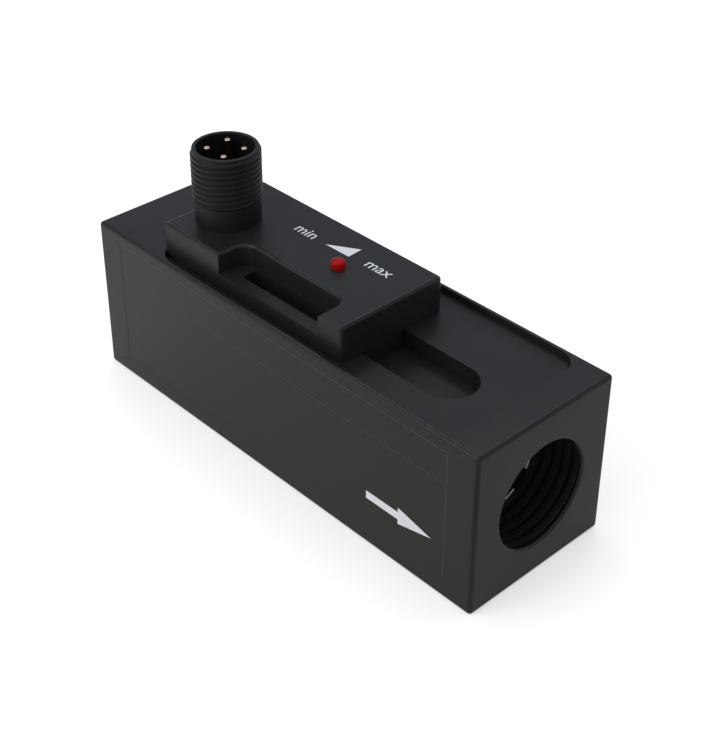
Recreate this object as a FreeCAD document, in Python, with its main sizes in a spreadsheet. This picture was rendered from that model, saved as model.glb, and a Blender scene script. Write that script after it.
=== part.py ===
import FreeCAD, Part
import math
import os
import re

import Sketcher
from FreeCAD import Placement, Rotation, Vector

# Piston flow switch for a half-inch line. A square block carries the flow bore. A spring-loaded piston
# with a ring magnet moves in it, and a switching head with a reed slides in a slot on top to set the
# switching point. Origin at the middle of the block's underside, X along the flow from inlet to outlet,
# Y away from the label side, Z up. Lengths in millimetres, angles in degrees.

DIMENSIONS = (
    # Block
    ("body_length", 91.5, "block, inlet face to outlet face"),
    ("body_width", 30, "block, label side to far side"),
    ("body_height", 30, "block, underside to top"),
    ("body_bevel", 0.6, "bevel of the block's outer edges"),
    ("flow_axis_height", 15, "flow bore's axis over the underside"),
    ("port_radius", 9.3, "core hole of the half-inch pipe thread"),
    ("mouth_bevel", 0.5, "bevel of the port mouths"),
    ("inlet_port_depth", 11, "inlet port, face to web"),
    ("inlet_web", 2.5, "web between inlet port and chamber"),
    ("inlet_web_radius", 6.8, "hole through that web"),
    ("chamber_radius", 8.6, "piston chamber"),
    ("outlet_port_depth", 12.5, "outlet port, face to chamber"),
    ("recess_start", 15.5, "inlet face to recess for the head"),
    ("recess_length", 70.5, "recess along the flow"),
    ("lip_width", 1, "lip left on each side of the recess"),
    ("recess_depth", 1.1, "recess below the block's top"),
    ("recess_corner", 4, "recess corners, in plan"),
    ("slot_width", 9.5, "slot in the recess floor"),
    ("slot_offset", -3.25, "slot's centre line from the block's"),
    ("slot_lip", 2.45, "slot's lip over its undercut"),
    ("undercut_depth", 0.65, "undercut, lip to slot floor"),
    ("undercut_width", 0.6, "undercut beyond the slot on each side"),
    ("slot_end_room", 0.25, "slot beyond the keel's travel, undercut beyond the barbs'"),
    # Rating label
    ("label_start", 5.8, "inlet face to label recess"),
    ("label_length", 80, "label recess along the flow"),
    ("label_base", 3.1, "underside of the block to label recess"),
    ("label_height", 24.8, "label recess, height"),
    ("label_depth", 0.2, "label recess, depth"),
    ("label_film", 0.15, "label film's thickness"),
    ("label_gap", 0.15, "gap round the label film"),
    ("label_corner", 0.8, "label's corners"),
    # Orifice
    ("orifice_length", 4, "orifice ring along the flow"),
    ("orifice_radius", 5, "orifice"),
    ("orifice_fit", 0.03, "orifice ring's play in the chamber"),
    # Spring seat and retaining ring
    ("seat_thickness", 2.4, "spring seat along the flow"),
    ("seat_fit", 0.1, "spring seat's play in the port"),
    ("seat_rim", 1.2, "spring seat's rim, radial width"),
    ("seat_hub_radius", 5.8, "spring seat's hub"),
    ("seat_hole_radius", 4.2, "hole through that hub"),
    ("seat_arm", 2, "spring seat's arms"),
    ("ring_thickness", 1, "retaining ring along the flow"),
    ("ring_width", 1.45, "retaining ring, radial width"),
    ("ring_bite", 0.45, "retaining ring's reach into its groove"),
    ("ring_play", 0.1, "retaining ring's play in its groove"),
    ("ring_gap_angle", 26, "retaining ring's opening"),
    ("ring_turn_angle", 329, "end of the opening, from the far side upwards"),
    # Piston
    ("nose_length", 3, "piston's nose inside the orifice"),
    ("nose_tip", 2.2, "nose radius at its tip"),
    ("nose_play", 0.4, "nose's play in the orifice"),
    ("disc_radius", 6.4, "piston's disc"),
    ("disc_thickness", 2, "piston's disc along the flow"),
    ("stem_radius", 3.2, "stem behind the step"),
    ("step_station", 16, "seat plane to the step that stops the magnet"),
    ("shaft_radius", 4.4, "stem before that step"),
    ("fin_length", 6.5, "piston's front guide fins along the flow"),
    ("fin_thickness", 1.4, "guide fins"),
    ("guide_clearance", 0.1, "guide fins' play in the chamber"),
    ("magnet_length", 8, "ring magnet along the flow"),
    ("magnet_radius", 6, "ring magnet"),
    ("stem_fit", 0.05, "play on the stem of magnet and rear guide"),
    ("guide_length", 3, "rear guide along the flow"),
    ("clip_thickness", 0.6, "stem clip along the flow"),
    ("clip_radius", 4.3, "stem clip"),
    ("clip_gap_angle", 40, "stem clip's opening"),
    ("stem_tail", 1.2, "stem behind the clip"),
    # Spring
    ("spring_radius", 5, "spring, axis to middle of the wire"),
    ("spring_wire", 0.8, "spring wire across its corners"),
    # Switching head
    ("head_start", 15.9, "inlet face to head, at its lowest setting"),
    ("head_length", 44.5, "head along the flow"),
    ("head_width", 22.1, "head across the flow"),
    ("head_height", 6.5, "head over the recess floor"),
    ("head_offset", -1.25, "head's centre line from the block's"),
    ("head_corner", 0.7, "head's upright edges"),
    ("head_edge", 0.6, "rounding of the head's upper edges"),
    ("head_wall", 1.6, "housing's wall"),
    ("head_ledge", 1, "ledge for the sealing frame inside that wall"),
    ("head_roof", 1.5, "housing's roof"),
    ("head_travel", 14, "head's setting range"),
    ("slide_clearance", 0.05, "head over the recess floor"),
    ("notch_start", 14.8, "head's inlet end to finger notch"),
    ("notch_tail", 5.3, "finger notch to the head's outlet end"),
    ("notch_depth", 6.05, "finger notch from the head's near face"),
    ("notch_floor", 2.75, "notch's floor over the head's foot"),
    ("notch_corner", 2.5, "notch's inner corners, in plan"),
    ("notch_wall", 1.4, "wall between notch and cavity"),
    ("clamp_inset", 3.35, "notch's inlet end to the clamping slot in its floor"),
    ("clamp_tail", 2.6, "clamping slot to the notch's outlet end"),
    ("clamp_setback", 2.3, "clamping slot from the head's near face"),
    ("clamp_ledge", 0.65, "clamping slot to the notch's back"),
    ("clamp_corner", 0.6, "clamping slot's corners, in plan"),
    ("base_thickness", 1.5, "base plate"),
    ("base_fit", 0.1, "base plate's play in the housing"),
    ("seal_thickness", 0.3, "sealing frame between base and housing"),
    ("keel_length", 24, "keel along the flow"),
    ("keel_clearance", 0.1, "keel's play on each side of the slot"),
    ("keel_gap", 0.15, "keel over the slot's floor"),
    ("keel_corner", 0.8, "keel's upright edges"),
    ("keel_wall", 1.4, "keel's ends to its trough and to its barbs"),
    ("keel_side", 3.1, "keel's sides to its trough"),
    ("keel_floor", 0.8, "floor of that trough"),
    ("barb_length", 7.5, "snap barbs along the keel"),
    ("barb_width", 0.35, "barbs beyond the keel's sides"),
    ("barb_clearance", 0.1, "barbs below the slot's lip"),
    ("barb_edge", 0.15, "barbs' upright edge"),
    # Circuit board, lamp and reed
    ("board_thickness", 0.8, "circuit board"),
    ("board_lift", 0.3, "circuit board over the base"),
    ("board_fit", 0.3, "circuit board's play in the cavity"),
    ("board_rib", 1.5, "width of the ribs under the board"),
    ("board_rib_length", 4, "near rib under the board"),
    ("lamp_station", 30.95, "head's inlet end to lamp"),
    ("lamp_offset", -0.45, "lamp from the block's centre line"),
    ("lamp_radius", 1.2, "lamp"),
    ("lamp_height", 1.3, "lamp over the head's top"),
    ("lamp_fit", 0.05, "lamp's play in the roof"),
    ("lamp_flange", 0.3, "lamp's foot beyond its radius"),
    ("lamp_foot", 0.8, "lamp's foot, height"),
    ("reed_radius", 1.1, "reed's glass capsule"),
    ("reed_length", 13, "reed's glass capsule, length"),
    ("reed_rest", 0.05, "capsule over the trough's floor"),
    ("lead_size", 0.5, "reed's flattened leads, width and thickness"),
    ("lead_reach", 1.6, "capsule's end to the rising part of a lead"),
    ("lead_bend", 0.8, "bend of a lead"),
    ("lead_play", 0.1, "play of pins and leads in the board"),
    ("lead_stub", 0.3, "leads beyond the board"),
    # Connector
    ("connector_station", 6.2, "head's inlet end to connector's axis"),
    ("connector_offset", -3, "connector's axis from the block's centre line"),
    ("spigot_radius", 4.5, "connector's spigot in the roof"),
    ("spigot_length", 3.6, "that spigot below the head's top"),
    ("spigot_fit", 0.03, "spigot's play in the roof"),
    ("spigot_room", 0.2, "roof hole below the spigot"),
    ("neck_radius", 5.7, "connector's plain neck"),
    ("neck_height", 4.1, "connector's plain neck, height"),
    ("thread_radius", 6, "connector's thread, outer radius"),
    ("thread_runout", 0.3, "bevel from neck to thread"),
    ("rim_radius", 5.7, "connector's rim"),
    ("rim_bevel", 0.4, "lead-in below the rim"),
    ("shell_height", 13.45, "connector over the head's top"),
    ("socket_radius", 5, "inside of the connector"),
    ("socket_depth", 8.2, "rim to the insulator's face"),
    ("socket_floor", 1, "insulator's shoulder over the head's top"),
    ("throat_radius", 3.7, "hole through the spigot"),
    ("insert_fit", 0.03, "insulator's play in the shell"),
    ("key_width", 1.2, "insulator's coding key"),
    ("key_depth", 0.7, "key from the shell's wall inwards"),
    ("key_drop", 1, "key below the rim"),
    ("key_turn_angle", 135, "key round the axis, from the outlet side"),
    ("pin_radius", 0.5, "contact pins"),
    ("pin_circle", 3.12, "contact pins' circle"),
    ("pin_drop", 0.25, "pin tips below the rim"),
    ("pin_fit", 0.02, "pins' play in the insulator"),
    ("pin_stub", 0.1, "pins below the board"),
)
FIN_COUNT = 4
ARM_COUNT = 3
PIN_COUNT = 4
PIN_TURN = 45
SPRING_COILS = 5
COIL_SIDES = 16
WIRE_SIDES = 6

doc = FreeCAD.newDocument("piston_flow_switch")
sizes = doc.addObject("Spreadsheet::Sheet", "sizes")
for row, (alias, number, meaning) in enumerate(DIMENSIONS, start=1):
    sizes.set(f"A{row}", meaning)
    sizes.set(f"B{row}", str(number))
    sizes.setAlias(f"B{row}", alias)
doc.recompute()
NAMES = {alias for alias, number, meaning in DIMENSIONS}
parts = []


def bind(text):
    """Expression over the sheet: each size's name in the text gets the sheet's name in front."""
    return re.sub(r"[a-z]\w*", lambda word: f"sizes.{word[0]}" if word[0] in NAMES else word[0], text)


def measure(text):
    """Number that an expression over the sheet gives."""
    result = sizes.evalExpression(bind(text))
    return float(getattr(result, "Value", result))


# Places that several pieces share, as expressions over the sheet
INLET = "(-body_length / 2)"
OUTLET = "(body_length / 2)"
CHAMBER_START = f"({INLET} + inlet_port_depth + inlet_web)"
CHAMBER_END = f"({OUTLET} - outlet_port_depth)"
PISTON_SEAT = f"({CHAMBER_START} + orifice_length)"
GUIDE_START = "(step_station + magnet_length)"
GUIDE_END = f"({GUIDE_START} + guide_length)"
FIN_RADIUS = "(chamber_radius - guide_clearance)"
RECESS_FLOOR = "(body_height - recess_depth)"
HEAD_LEFT = f"({INLET} + head_start)"
HEAD_FOOT = f"({RECESS_FLOOR} + slide_clearance)"
KEEL_HALF = "(slot_width / 2 - keel_clearance)"
KEEL_LINE = "(slot_offset - head_offset)"
KEEL_START = "(head_length - keel_length)"
KEEL_DROP = "(slide_clearance + slot_lip + undercut_depth - keel_gap)"
BARB_START = f"({KEEL_START} + keel_wall)"
TROUGH_START = f"({KEEL_START} + keel_wall)"
TROUGH_END = "(head_length - head_wall - base_fit - keel_wall)"
LEDGE = "(head_wall + head_ledge)"
NOTCH_LEDGE = "(notch_wall - head_ledge)"
SEAL_TOP = "(base_thickness + seal_thickness)"
BOARD_FOOT = "(base_thickness + board_lift)"
BOARD_TOP = f"({BOARD_FOOT} + board_thickness)"
BOARD_FAR = f"(head_width / 2 - {LEDGE} - board_fit)"
BOARD_NEAR = "(-head_width / 2 + notch_depth + notch_wall + board_fit)"
BOARD_RIGHT = f"(head_length - {LEDGE} - board_fit)"
REED_MIDDLE = f"(({TROUGH_START} + {TROUGH_END}) / 2)"
REED_LINE = f"(-{KEEL_DROP} + keel_floor + reed_rest + reed_radius)"
LEAD_SPAN = "(reed_length / 2 + lead_reach)"
CONNECTOR_LINE = "(connector_offset - head_offset)"
INSERT_TOP = "(shell_height - socket_depth)"


def new_body(label):
    """Empty body for one sub-part."""
    body = doc.addObject("PartDesign::Body", label)
    body.Label = label
    parts.append(body)
    return body


def origin_item(body, role):
    """One of a body's own origin planes or axes."""
    return next(item for item in body.Origin.OriginFeatures if item.Role == role)


def draw(body, role, lift="0", rise="0"):
    """Empty sketch on an origin plane of its body, lifted along the normal and raised within the plane."""
    drawing = body.newObject("Sketcher::SketchObject", f"{body.Name}_sketch")
    drawing.AttachmentSupport = [(origin_item(body, role), "")]
    drawing.MapMode = "FlatFace"
    for letter, text in (("z", lift), ("y", rise)):
        if text != "0":
            drawing.setExpression(f"AttachmentOffset.Base.{letter}", bind(text))
    return drawing


def pin(drawing, line, end, across, up):
    """Ties a point of a sketch to two expressions, measured from the sketch's origin."""
    for kind, axis, text in (("DistanceX", -2, across), ("DistanceY", -1, up)):
        if text == "0":
            drawing.addConstraint(Sketcher.Constraint("PointOnObject", line, end, axis))
            continue
        index = drawing.addConstraint(Sketcher.Constraint(kind, -1, 1, line, end, measure(text)))
        drawing.setExpression(f"Constraints[{index}]", bind(text))


def polygon(drawing, corners):
    """Closed outline through corners given as pairs of expressions."""
    points = [Vector(measure(across), measure(up), 0) for across, up in corners]
    following = points[1:] + points[:1]
    lines = [drawing.addGeometry(Part.LineSegment(a, b), False) for a, b in zip(points, following)]
    for line, after in zip(lines, lines[1:] + lines[:1]):
        drawing.addConstraint(Sketcher.Constraint("Coincident", line, 2, after, 1))
    for line, (across, up) in zip(lines, corners):
        pin(drawing, line, 1, across, up)
    return drawing


def rectangle(drawing, left, right, low, high):
    """Upright rectangle between four expressions."""
    return polygon(drawing, [(left, low), (right, low), (right, high), (left, high)])


def circle(drawing, across, up, radius):
    """Circle with its centre and radius tied to expressions."""
    centre = Vector(measure(across), measure(up), 0)
    line = drawing.addGeometry(Part.Circle(centre, Vector(0, 0, 1), measure(radius)), False)
    index = drawing.addConstraint(Sketcher.Constraint("Radius", line, measure(radius)))
    drawing.setExpression(f"Constraints[{index}]", bind(radius))
    pin(drawing, line, 3, across, up)
    return drawing


def stadium(drawing, left, right, middle, width):
    """Slot outline with round ends: two half circles joined by two tangent lines."""
    radius = measure(width) / 2
    west = Vector(measure(left) + radius, measure(middle), 0)
    east = Vector(measure(right) - radius, measure(middle), 0)
    side = Vector(0, radius, 0)
    up = Vector(0, 0, 1)
    quarter = math.pi / 2
    west_arc = Part.ArcOfCircle(Part.Circle(west, up, radius), quarter, 3 * quarter)
    east_arc = Part.ArcOfCircle(Part.Circle(east, up, radius), -quarter, quarter)
    first_end = drawing.addGeometry(west_arc, False)
    front = drawing.addGeometry(Part.LineSegment(west - side, east - side), False)
    last_end = drawing.addGeometry(east_arc, False)
    back = drawing.addGeometry(Part.LineSegment(east + side, west + side), False)
    outline = (first_end, front, last_end, back, first_end)
    for before, after in zip(outline, outline[1:]):
        drawing.addConstraint(Sketcher.Constraint("Tangent", before, 2, after, 1))
    drawing.addConstraint(Sketcher.Constraint("Equal", first_end, last_end))
    index = drawing.addConstraint(Sketcher.Constraint("Radius", first_end, radius))
    drawing.setExpression(f"Constraints[{index}]", bind(f"({width}) / 2"))
    pin(drawing, first_end, 3, f"{left} + ({width}) / 2", middle)
    pin(drawing, last_end, 3, f"{right} - ({width}) / 2", middle)
    return drawing


def add_feature(body, kind, drawing):
    """Sketch-based feature of a body."""
    feature = body.newObject(f"PartDesign::{kind}", f"{body.Name}_{kind.lower()}")
    feature.Profile = drawing
    drawing.Visibility = False
    return feature


def pad(body, drawing, length, reverse=False):
    """Solid from a sketch along its normal, or against it."""
    feature = add_feature(body, "Pad", drawing)
    feature.setExpression("Length", bind(length))
    feature.Reversed = reverse
    doc.recompute()
    return feature


def check_cut(body, before, drawing):
    """Stops the build where a cut has removed nothing."""
    doc.recompute()
    if not body.Shape.Volume < before:
        raise ValueError(f"{drawing.Label} removes nothing from {body.Label}")


def cut(body, drawing, depth, along_normal=False):
    """Pocket from a sketch against its normal, or along it."""
    before = body.Shape.Volume
    feature = add_feature(body, "Pocket", drawing)
    feature.setExpression("Length", bind(depth))
    feature.Reversed = along_normal
    check_cut(body, before, drawing)
    return feature


def revolve(body, drawing, axis="H_Axis", angle="360"):
    """Solid of revolution about one of the sketch's own axes."""
    feature = add_feature(body, "Revolution", drawing)
    feature.ReferenceAxis = (drawing, [axis])
    feature.setExpression("Angle", bind(angle))
    doc.recompute()
    return feature


def turn_out(body, drawing, axis="H_Axis"):
    """Full turned cut about one of the sketch's own axes."""
    before = body.Shape.Volume
    feature = add_feature(body, "Groove", drawing)
    feature.ReferenceAxis = (drawing, [axis])
    feature.Angle = 360
    check_cut(body, before, drawing)
    return feature


def spread(body, feature, role, count):
    """Copies of a feature, evenly round one of the body's origin axes."""
    pattern = body.newObject("PartDesign::PolarPattern", f"{body.Name}_pattern")
    pattern.Originals = [feature]
    pattern.Axis = (origin_item(body, role), [""])
    pattern.Angle = 360
    pattern.Occurrences = count
    body.Tip = pattern
    doc.recompute()
    return pattern


def break_edges(body, kind, choose):
    """Fillet or chamfer on the edges of a body's present shape that a test picks out."""
    base = body.Tip
    feature = body.newObject(f"PartDesign::{kind}", f"{body.Name}_{kind.lower()}")
    chosen = [f"Edge{index}" for index, edge in enumerate(base.Shape.Edges, start=1) if choose(edge)]
    feature.Base = (base, chosen)
    return feature


def round_edges(body, radius, choose):
    """Fillet with its radius tied to an expression."""
    break_edges(body, "Fillet", choose).setExpression("Radius", bind(radius))
    doc.recompute()


def bevel_edges(body, width, choose):
    """Chamfer with its width tied to an expression."""
    break_edges(body, "Chamfer", choose).setExpression("Size", bind(width))
    doc.recompute()


def near(a, b):
    """Equal lengths, to a thousandth of a millimetre."""
    return abs(a - b) < 0.001


def upright(edge):
    """Edge that stands parallel to Z."""
    ends = [vertex.Point for vertex in edge.Vertexes]
    return len(ends) == 2 and near(ends[0].x, ends[1].x) and near(ends[0].y, ends[1].y)


def level(edge, height):
    """Edge that lies flat at a given height."""
    return near(edge.BoundBox.ZMin, height) and near(edge.BoundBox.ZMax, height)


def place(item, across="0", along="0", height="0"):
    """Ties a piece's place in the shared frame to expressions."""
    for letter, text in (("x", across), ("y", along), ("z", height)):
        if text != "0":
            item.setExpression(f"Placement.Base.{letter}", bind(text))


def place_on_axis(item, across):
    """Places a piece of the flow path on the bore's axis."""
    place(item, across, "0", "flow_axis_height")


def place_in_head(item, across="0", along="0", height="0"):
    """Places a piece of the head, measured from its inlet end, its centre line and its foot."""
    place(item, f"{HEAD_LEFT} + {across}", f"head_offset + {along}", f"{HEAD_FOOT} + {height}")


def make_block():
    """Square block: through bore with two ports, recess and slot on top, label recess. The slot is undercut
    only where the head always covers it."""
    body = new_body("body_block")
    half = "body_width / 2"
    outline = rectangle(draw(body, "XY_Plane"), INLET, OUTLET, f"-{half}", half)
    pad(body, outline, "body_height")
    bevel_edges(body, "body_bevel", lambda edge: True)
    seat_end = f"{CHAMBER_END} + seat_thickness"
    groove_start = f"{seat_end} - ring_play"
    groove_end = f"{seat_end} + ring_thickness + ring_play"
    groove_radius = "port_radius + ring_bite + ring_play"
    web_start = f"{INLET} + inlet_port_depth"
    bore = [
        (INLET, "0"),
        (INLET, "port_radius + mouth_bevel"),
        (f"{INLET} + mouth_bevel", "port_radius"),
        (web_start, "port_radius"),
        (web_start, "inlet_web_radius"),
        (CHAMBER_START, "inlet_web_radius"),
        (CHAMBER_START, "chamber_radius"),
        (CHAMBER_END, "chamber_radius"),
        (CHAMBER_END, "port_radius"),
        (groove_start, "port_radius"),
        (groove_start, groove_radius),
        (groove_end, groove_radius),
        (groove_end, "port_radius"),
        (f"{OUTLET} - mouth_bevel", "port_radius"),
        (OUTLET, "port_radius + mouth_bevel"),
        (OUTLET, "0"),
    ]
    turn_out(body, polygon(draw(body, "XZ_Plane", rise="flow_axis_height"), bore))
    side = f"({half} - lip_width)"
    recess_left = f"({INLET} + recess_start)"
    recess_right = f"({recess_left} + recess_length)"
    recess = rectangle(draw(body, "XY_Plane", lift="body_height"), recess_left, recess_right, f"-{side}", side)
    cut(body, recess, "recess_depth")
    floor = measure(RECESS_FLOOR)
    top = measure("body_height")
    round_edges(
        body,
        "recess_corner",
        lambda edge: upright(edge) and near(edge.BoundBox.ZMin, floor) and near(edge.BoundBox.ZMax, top),
    )
    slot_left = f"({HEAD_LEFT} + {KEEL_START} - slot_width / 2 - slot_end_room)"
    slot_right = f"({HEAD_LEFT} + head_length + head_travel + slot_width / 2 + slot_end_room)"
    slot = stadium(
        draw(body, "XY_Plane", lift=RECESS_FLOOR), slot_left, slot_right, "slot_offset", "slot_width"
    )
    cut(body, slot, "slot_lip + undercut_depth")
    reach = "(slot_width / 2 + undercut_width)"
    undercut = rectangle(
        draw(body, "XY_Plane", lift=f"{RECESS_FLOOR} - slot_lip"),
        f"{HEAD_LEFT} + {BARB_START} - slot_end_room",
        f"{HEAD_LEFT} + {BARB_START} + barb_length + head_travel + slot_end_room",
        f"slot_offset - {reach}",
        f"slot_offset + {reach}",
    )
    cut(body, undercut, "undercut_depth")
    label = rectangle(
        draw(body, "XZ_Plane", lift=half),
        f"{INLET} + label_start",
        f"{INLET} + label_start + label_length",
        "label_base",
        "label_base + label_height",
    )
    cut(body, label, "label_depth")
    corner_face = measure(f"-{half}")
    round_edges(
        body,
        "label_corner",
        lambda edge: near(edge.BoundBox.YMin, corner_face)
        and near(edge.BoundBox.YLength, measure("label_depth"))
        and near(edge.Length, measure("label_depth")),
    )


def make_label():
    """Film label, a gap smaller all round than its recess, stuck to the recess's floor."""
    body = new_body("rating_label")
    outline = rectangle(
        draw(body, "XZ_Plane"), "label_gap", "label_length - label_gap", "label_gap", "label_height - label_gap"
    )
    pad(body, outline, "label_film")
    film = measure("label_film")
    round_edges(body, "label_corner - label_gap", lambda edge: near(edge.BoundBox.YLength, film))
    place(body, f"{INLET} + label_start", "label_depth - body_width / 2", "label_base")


def make_orifice():
    """Orifice ring between the inlet web and the piston's disc, which closes it at rest."""
    body = new_body("orifice_ring")
    outer = "chamber_radius - orifice_fit"
    revolve(body, rectangle(draw(body, "XY_Plane"), "0", "orifice_length", "orifice_radius", outer))
    place_on_axis(body, CHAMBER_START)


def make_spring_seat():
    """Three-armed plate: rim in the port, hub under the spring's end, open between the arms."""
    body = new_body("spring_seat")
    rim = "(port_radius - seat_fit)"
    ring = circle(draw(body, "YZ_Plane"), "0", "0", rim)
    circle(ring, "0", "0", f"{rim} - seat_rim")
    pad(body, ring, "seat_thickness")
    arm = rectangle(draw(body, "YZ_Plane"), "-seat_arm / 2", "seat_arm / 2", "0", f"{rim} - seat_rim / 2")
    spread(body, pad(body, arm, "seat_thickness"), "X_Axis", ARM_COUNT)
    pad(body, circle(draw(body, "YZ_Plane"), "0", "0", "seat_hub_radius"), "seat_thickness")
    cut(body, circle(draw(body, "YZ_Plane"), "0", "0", "seat_hole_radius"), "seat_thickness", along_normal=True)
    place_on_axis(body, CHAMBER_END)


def make_retaining_ring():
    """Open snap ring of square section that holds the spring seat in the outlet port."""
    body = new_body("retaining_ring")
    outer = "(port_radius + ring_bite)"
    section = rectangle(draw(body, "XY_Plane"), "0", "ring_thickness", f"{outer} - ring_width", outer)
    revolve(body, section, angle="360 - ring_gap_angle")
    body.Placement = Placement(Vector(), Rotation(Vector(1, 0, 0), measure("ring_turn_angle")))
    place_on_axis(body, f"{CHAMBER_END} + seat_thickness")


def add_fins(body, start, length, root):
    """Guide fins from a root radius to the chamber's wall, spread round the flow axis."""
    edge = "fin_thickness / 2"
    drawing = rectangle(draw(body, "YZ_Plane", lift=start), f"-{edge}", edge, root, FIN_RADIUS)
    spread(body, pad(body, drawing, length), "X_Axis", FIN_COUNT)


def make_piston():
    """Piston: tapered nose in the orifice, sealing disc, stepped stem, front fins."""
    body = new_body("piston")
    stem_end = f"{GUIDE_END} + clip_thickness + stem_tail"
    profile = [
        ("-nose_length", "0"),
        ("-nose_length", "nose_tip"),
        ("0", "orifice_radius - nose_play"),
        ("0", "disc_radius"),
        ("disc_thickness", "disc_radius"),
        ("disc_thickness", "shaft_radius"),
        ("step_station", "shaft_radius"),
        ("step_station", "stem_radius"),
        (stem_end, "stem_radius"),
        (stem_end, "0"),
    ]
    revolve(body, polygon(draw(body, "XY_Plane"), profile))
    add_fins(body, "disc_thickness / 2", "fin_length", "stem_radius / 2")
    place_on_axis(body, PISTON_SEAT)
    magnet = new_body("ring_magnet")
    inner = "stem_radius + stem_fit"
    revolve(magnet, rectangle(draw(magnet, "XY_Plane"), "0", "magnet_length", inner, "magnet_radius"))
    place_on_axis(magnet, f"{PISTON_SEAT} + step_station")


def make_rear_guide():
    """Star behind the magnet, locked on the stem by an open push-on clip."""
    body = new_body("rear_guide")
    section = rectangle(draw(body, "XY_Plane"), "0", "guide_length", "stem_radius + stem_fit", "disc_radius")
    revolve(body, section)
    add_fins(body, "0", "guide_length", "(stem_radius + disc_radius) / 2")
    place_on_axis(body, f"{PISTON_SEAT} + {GUIDE_START}")
    clip = new_body("stem_clip")
    section = rectangle(draw(clip, "XY_Plane"), "0", "clip_thickness", "stem_radius + stem_fit", "clip_radius")
    revolve(clip, section, angle="360 - clip_gap_angle")
    place_on_axis(clip, f"{PISTON_SEAT} + {GUIDE_END}")


def make_spring():
    """Compression spring between rear guide and spring seat: six-sided wire, bent in straight lengths along
    a helix. Each length ends in the plane that halves its corner, so that its sides stay flat."""
    wire_radius = measure("spring_wire") / 2
    radius = measure("spring_radius")
    start = measure(f"{PISTON_SEAT} + {GUIDE_END}") + wire_radius
    rise = measure(CHAMBER_END) - wire_radius - start
    lengths = SPRING_COILS * COIL_SIDES
    turns = [2 * math.pi * index / COIL_SIDES for index in range(lengths + 1)]
    stations = [
        Vector(rise * index / lengths, radius * math.cos(turn), radius * math.sin(turn))
        for index, turn in enumerate(turns)
    ]
    runs = [(after - before).normalize() for before, after in zip(stations, stations[1:])]
    outward = Vector(stations[0].x, stations[0].y, stations[0].z).normalize()
    upward = runs[0].cross(outward)
    corners = [2 * math.pi * side / WIRE_SIDES for side in range(WIRE_SIDES)]
    spokes = [upward * math.cos(turn) + outward * math.sin(turn) for turn in corners]
    ring = [stations[0] + spoke * wire_radius for spoke in spokes]
    faces = [Part.Face(Part.makePolygon(ring + ring[:1]))]
    for index, run in enumerate(runs):
        following = runs[min(index + 1, lengths - 1)]
        normal = (run + following).normalize()
        reach = [(stations[index + 1] - point).dot(normal) / run.dot(normal) for point in ring]
        ahead = [point + run * length for point, length in zip(ring, reach)]
        for side in range(WIRE_SIDES):
            other = (side + 1) % WIRE_SIDES
            outline = [ring[side], ring[other], ahead[other], ahead[side], ring[side]]
            faces.append(Part.Face(Part.makePolygon(outline)))
        ring = ahead
    faces.append(Part.Face(Part.makePolygon(ring + ring[:1])))
    shell = Part.makeShell(faces)
    shell.sewShape()
    solid = Part.makeSolid(shell)
    spring = doc.addObject("Part::Feature", "piston_spring")
    spring.Label = "piston_spring"
    spring.Shape = solid if solid.Volume > 0 else solid.reversed()
    spring.Placement = Placement(Vector(start, 0, measure("flow_axis_height")), Rotation())
    parts.append(spring)


def outline_inside(drawing, margin, notch_margin):
    """Outline inside the head, a margin from its outer faces and another from the finger notch."""
    half = "(head_width / 2)"
    step = f"notch_start - {notch_margin}"
    shoulder = f"notch_depth + {notch_margin} - {half}"
    corners = [
        (margin, f"{margin} - {half}"),
        (step, f"{margin} - {half}"),
        (step, shoulder),
        (f"head_length - {margin}", shoulder),
        (f"head_length - {margin}", f"{half} - {margin}"),
        (margin, f"{half} - {margin}"),
    ]
    return polygon(drawing, corners)


def make_housing():
    """Moulded head: rounded box with a finger notch open to the near side and a clamping slot through the
    solid floor below it, hollow from below elsewhere."""
    body = new_body("head_housing")
    half = "(head_width / 2)"
    outline = rectangle(draw(body, "XY_Plane"), "0", "head_length", f"-{half}", half)
    pad(body, outline, "head_height")
    round_edges(body, "head_corner", upright)
    notch_back = f"(notch_depth - {half})"
    notch = rectangle(
        draw(body, "XY_Plane", lift="head_height"),
        "notch_start",
        "head_length - notch_tail",
        f"-{half} - head_corner",
        notch_back,
    )
    cut(body, notch, "head_height - notch_floor")
    back = measure(notch_back)
    round_edges(body, "notch_corner", lambda edge: upright(edge) and near(edge.BoundBox.YMin, back))
    top = measure("head_height")
    round_edges(body, "head_edge", lambda edge: level(edge, top))
    rebate = outline_inside(draw(body, "XY_Plane"), "head_wall", NOTCH_LEDGE)
    cut(body, rebate, SEAL_TOP, along_normal=True)
    cavity = outline_inside(draw(body, "XY_Plane", lift=SEAL_TOP), LEDGE, "notch_wall")
    cut(body, cavity, f"head_height - head_roof - {SEAL_TOP}", along_normal=True)
    spigot = draw(body, "XY_Plane", lift="head_height")
    circle(spigot, "connector_station", CONNECTOR_LINE, "spigot_radius + spigot_fit")
    cut(body, spigot, "spigot_length + spigot_room")
    lamp = draw(body, "XY_Plane", lift="head_height")
    circle(lamp, "lamp_station", "lamp_offset - head_offset", "lamp_radius + lamp_fit")
    cut(body, lamp, "head_roof")
    clamp_sides = (f"clamp_setback - {half}", f"notch_depth - clamp_ledge - {half}")
    clamp = rectangle(
        draw(body, "XY_Plane", lift="notch_floor"),
        "notch_start + clamp_inset",
        "head_length - notch_tail - clamp_tail",
        *clamp_sides,
    )
    cut(body, clamp, "notch_floor")
    floor = measure("notch_floor")
    sides = [measure(side) for side in clamp_sides]
    round_edges(
        body,
        "clamp_corner",
        lambda edge: upright(edge)
        and near(edge.BoundBox.ZMax, floor)
        and any(near(edge.BoundBox.YMin, side) for side in sides),
    )
    place_in_head(body)


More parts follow.
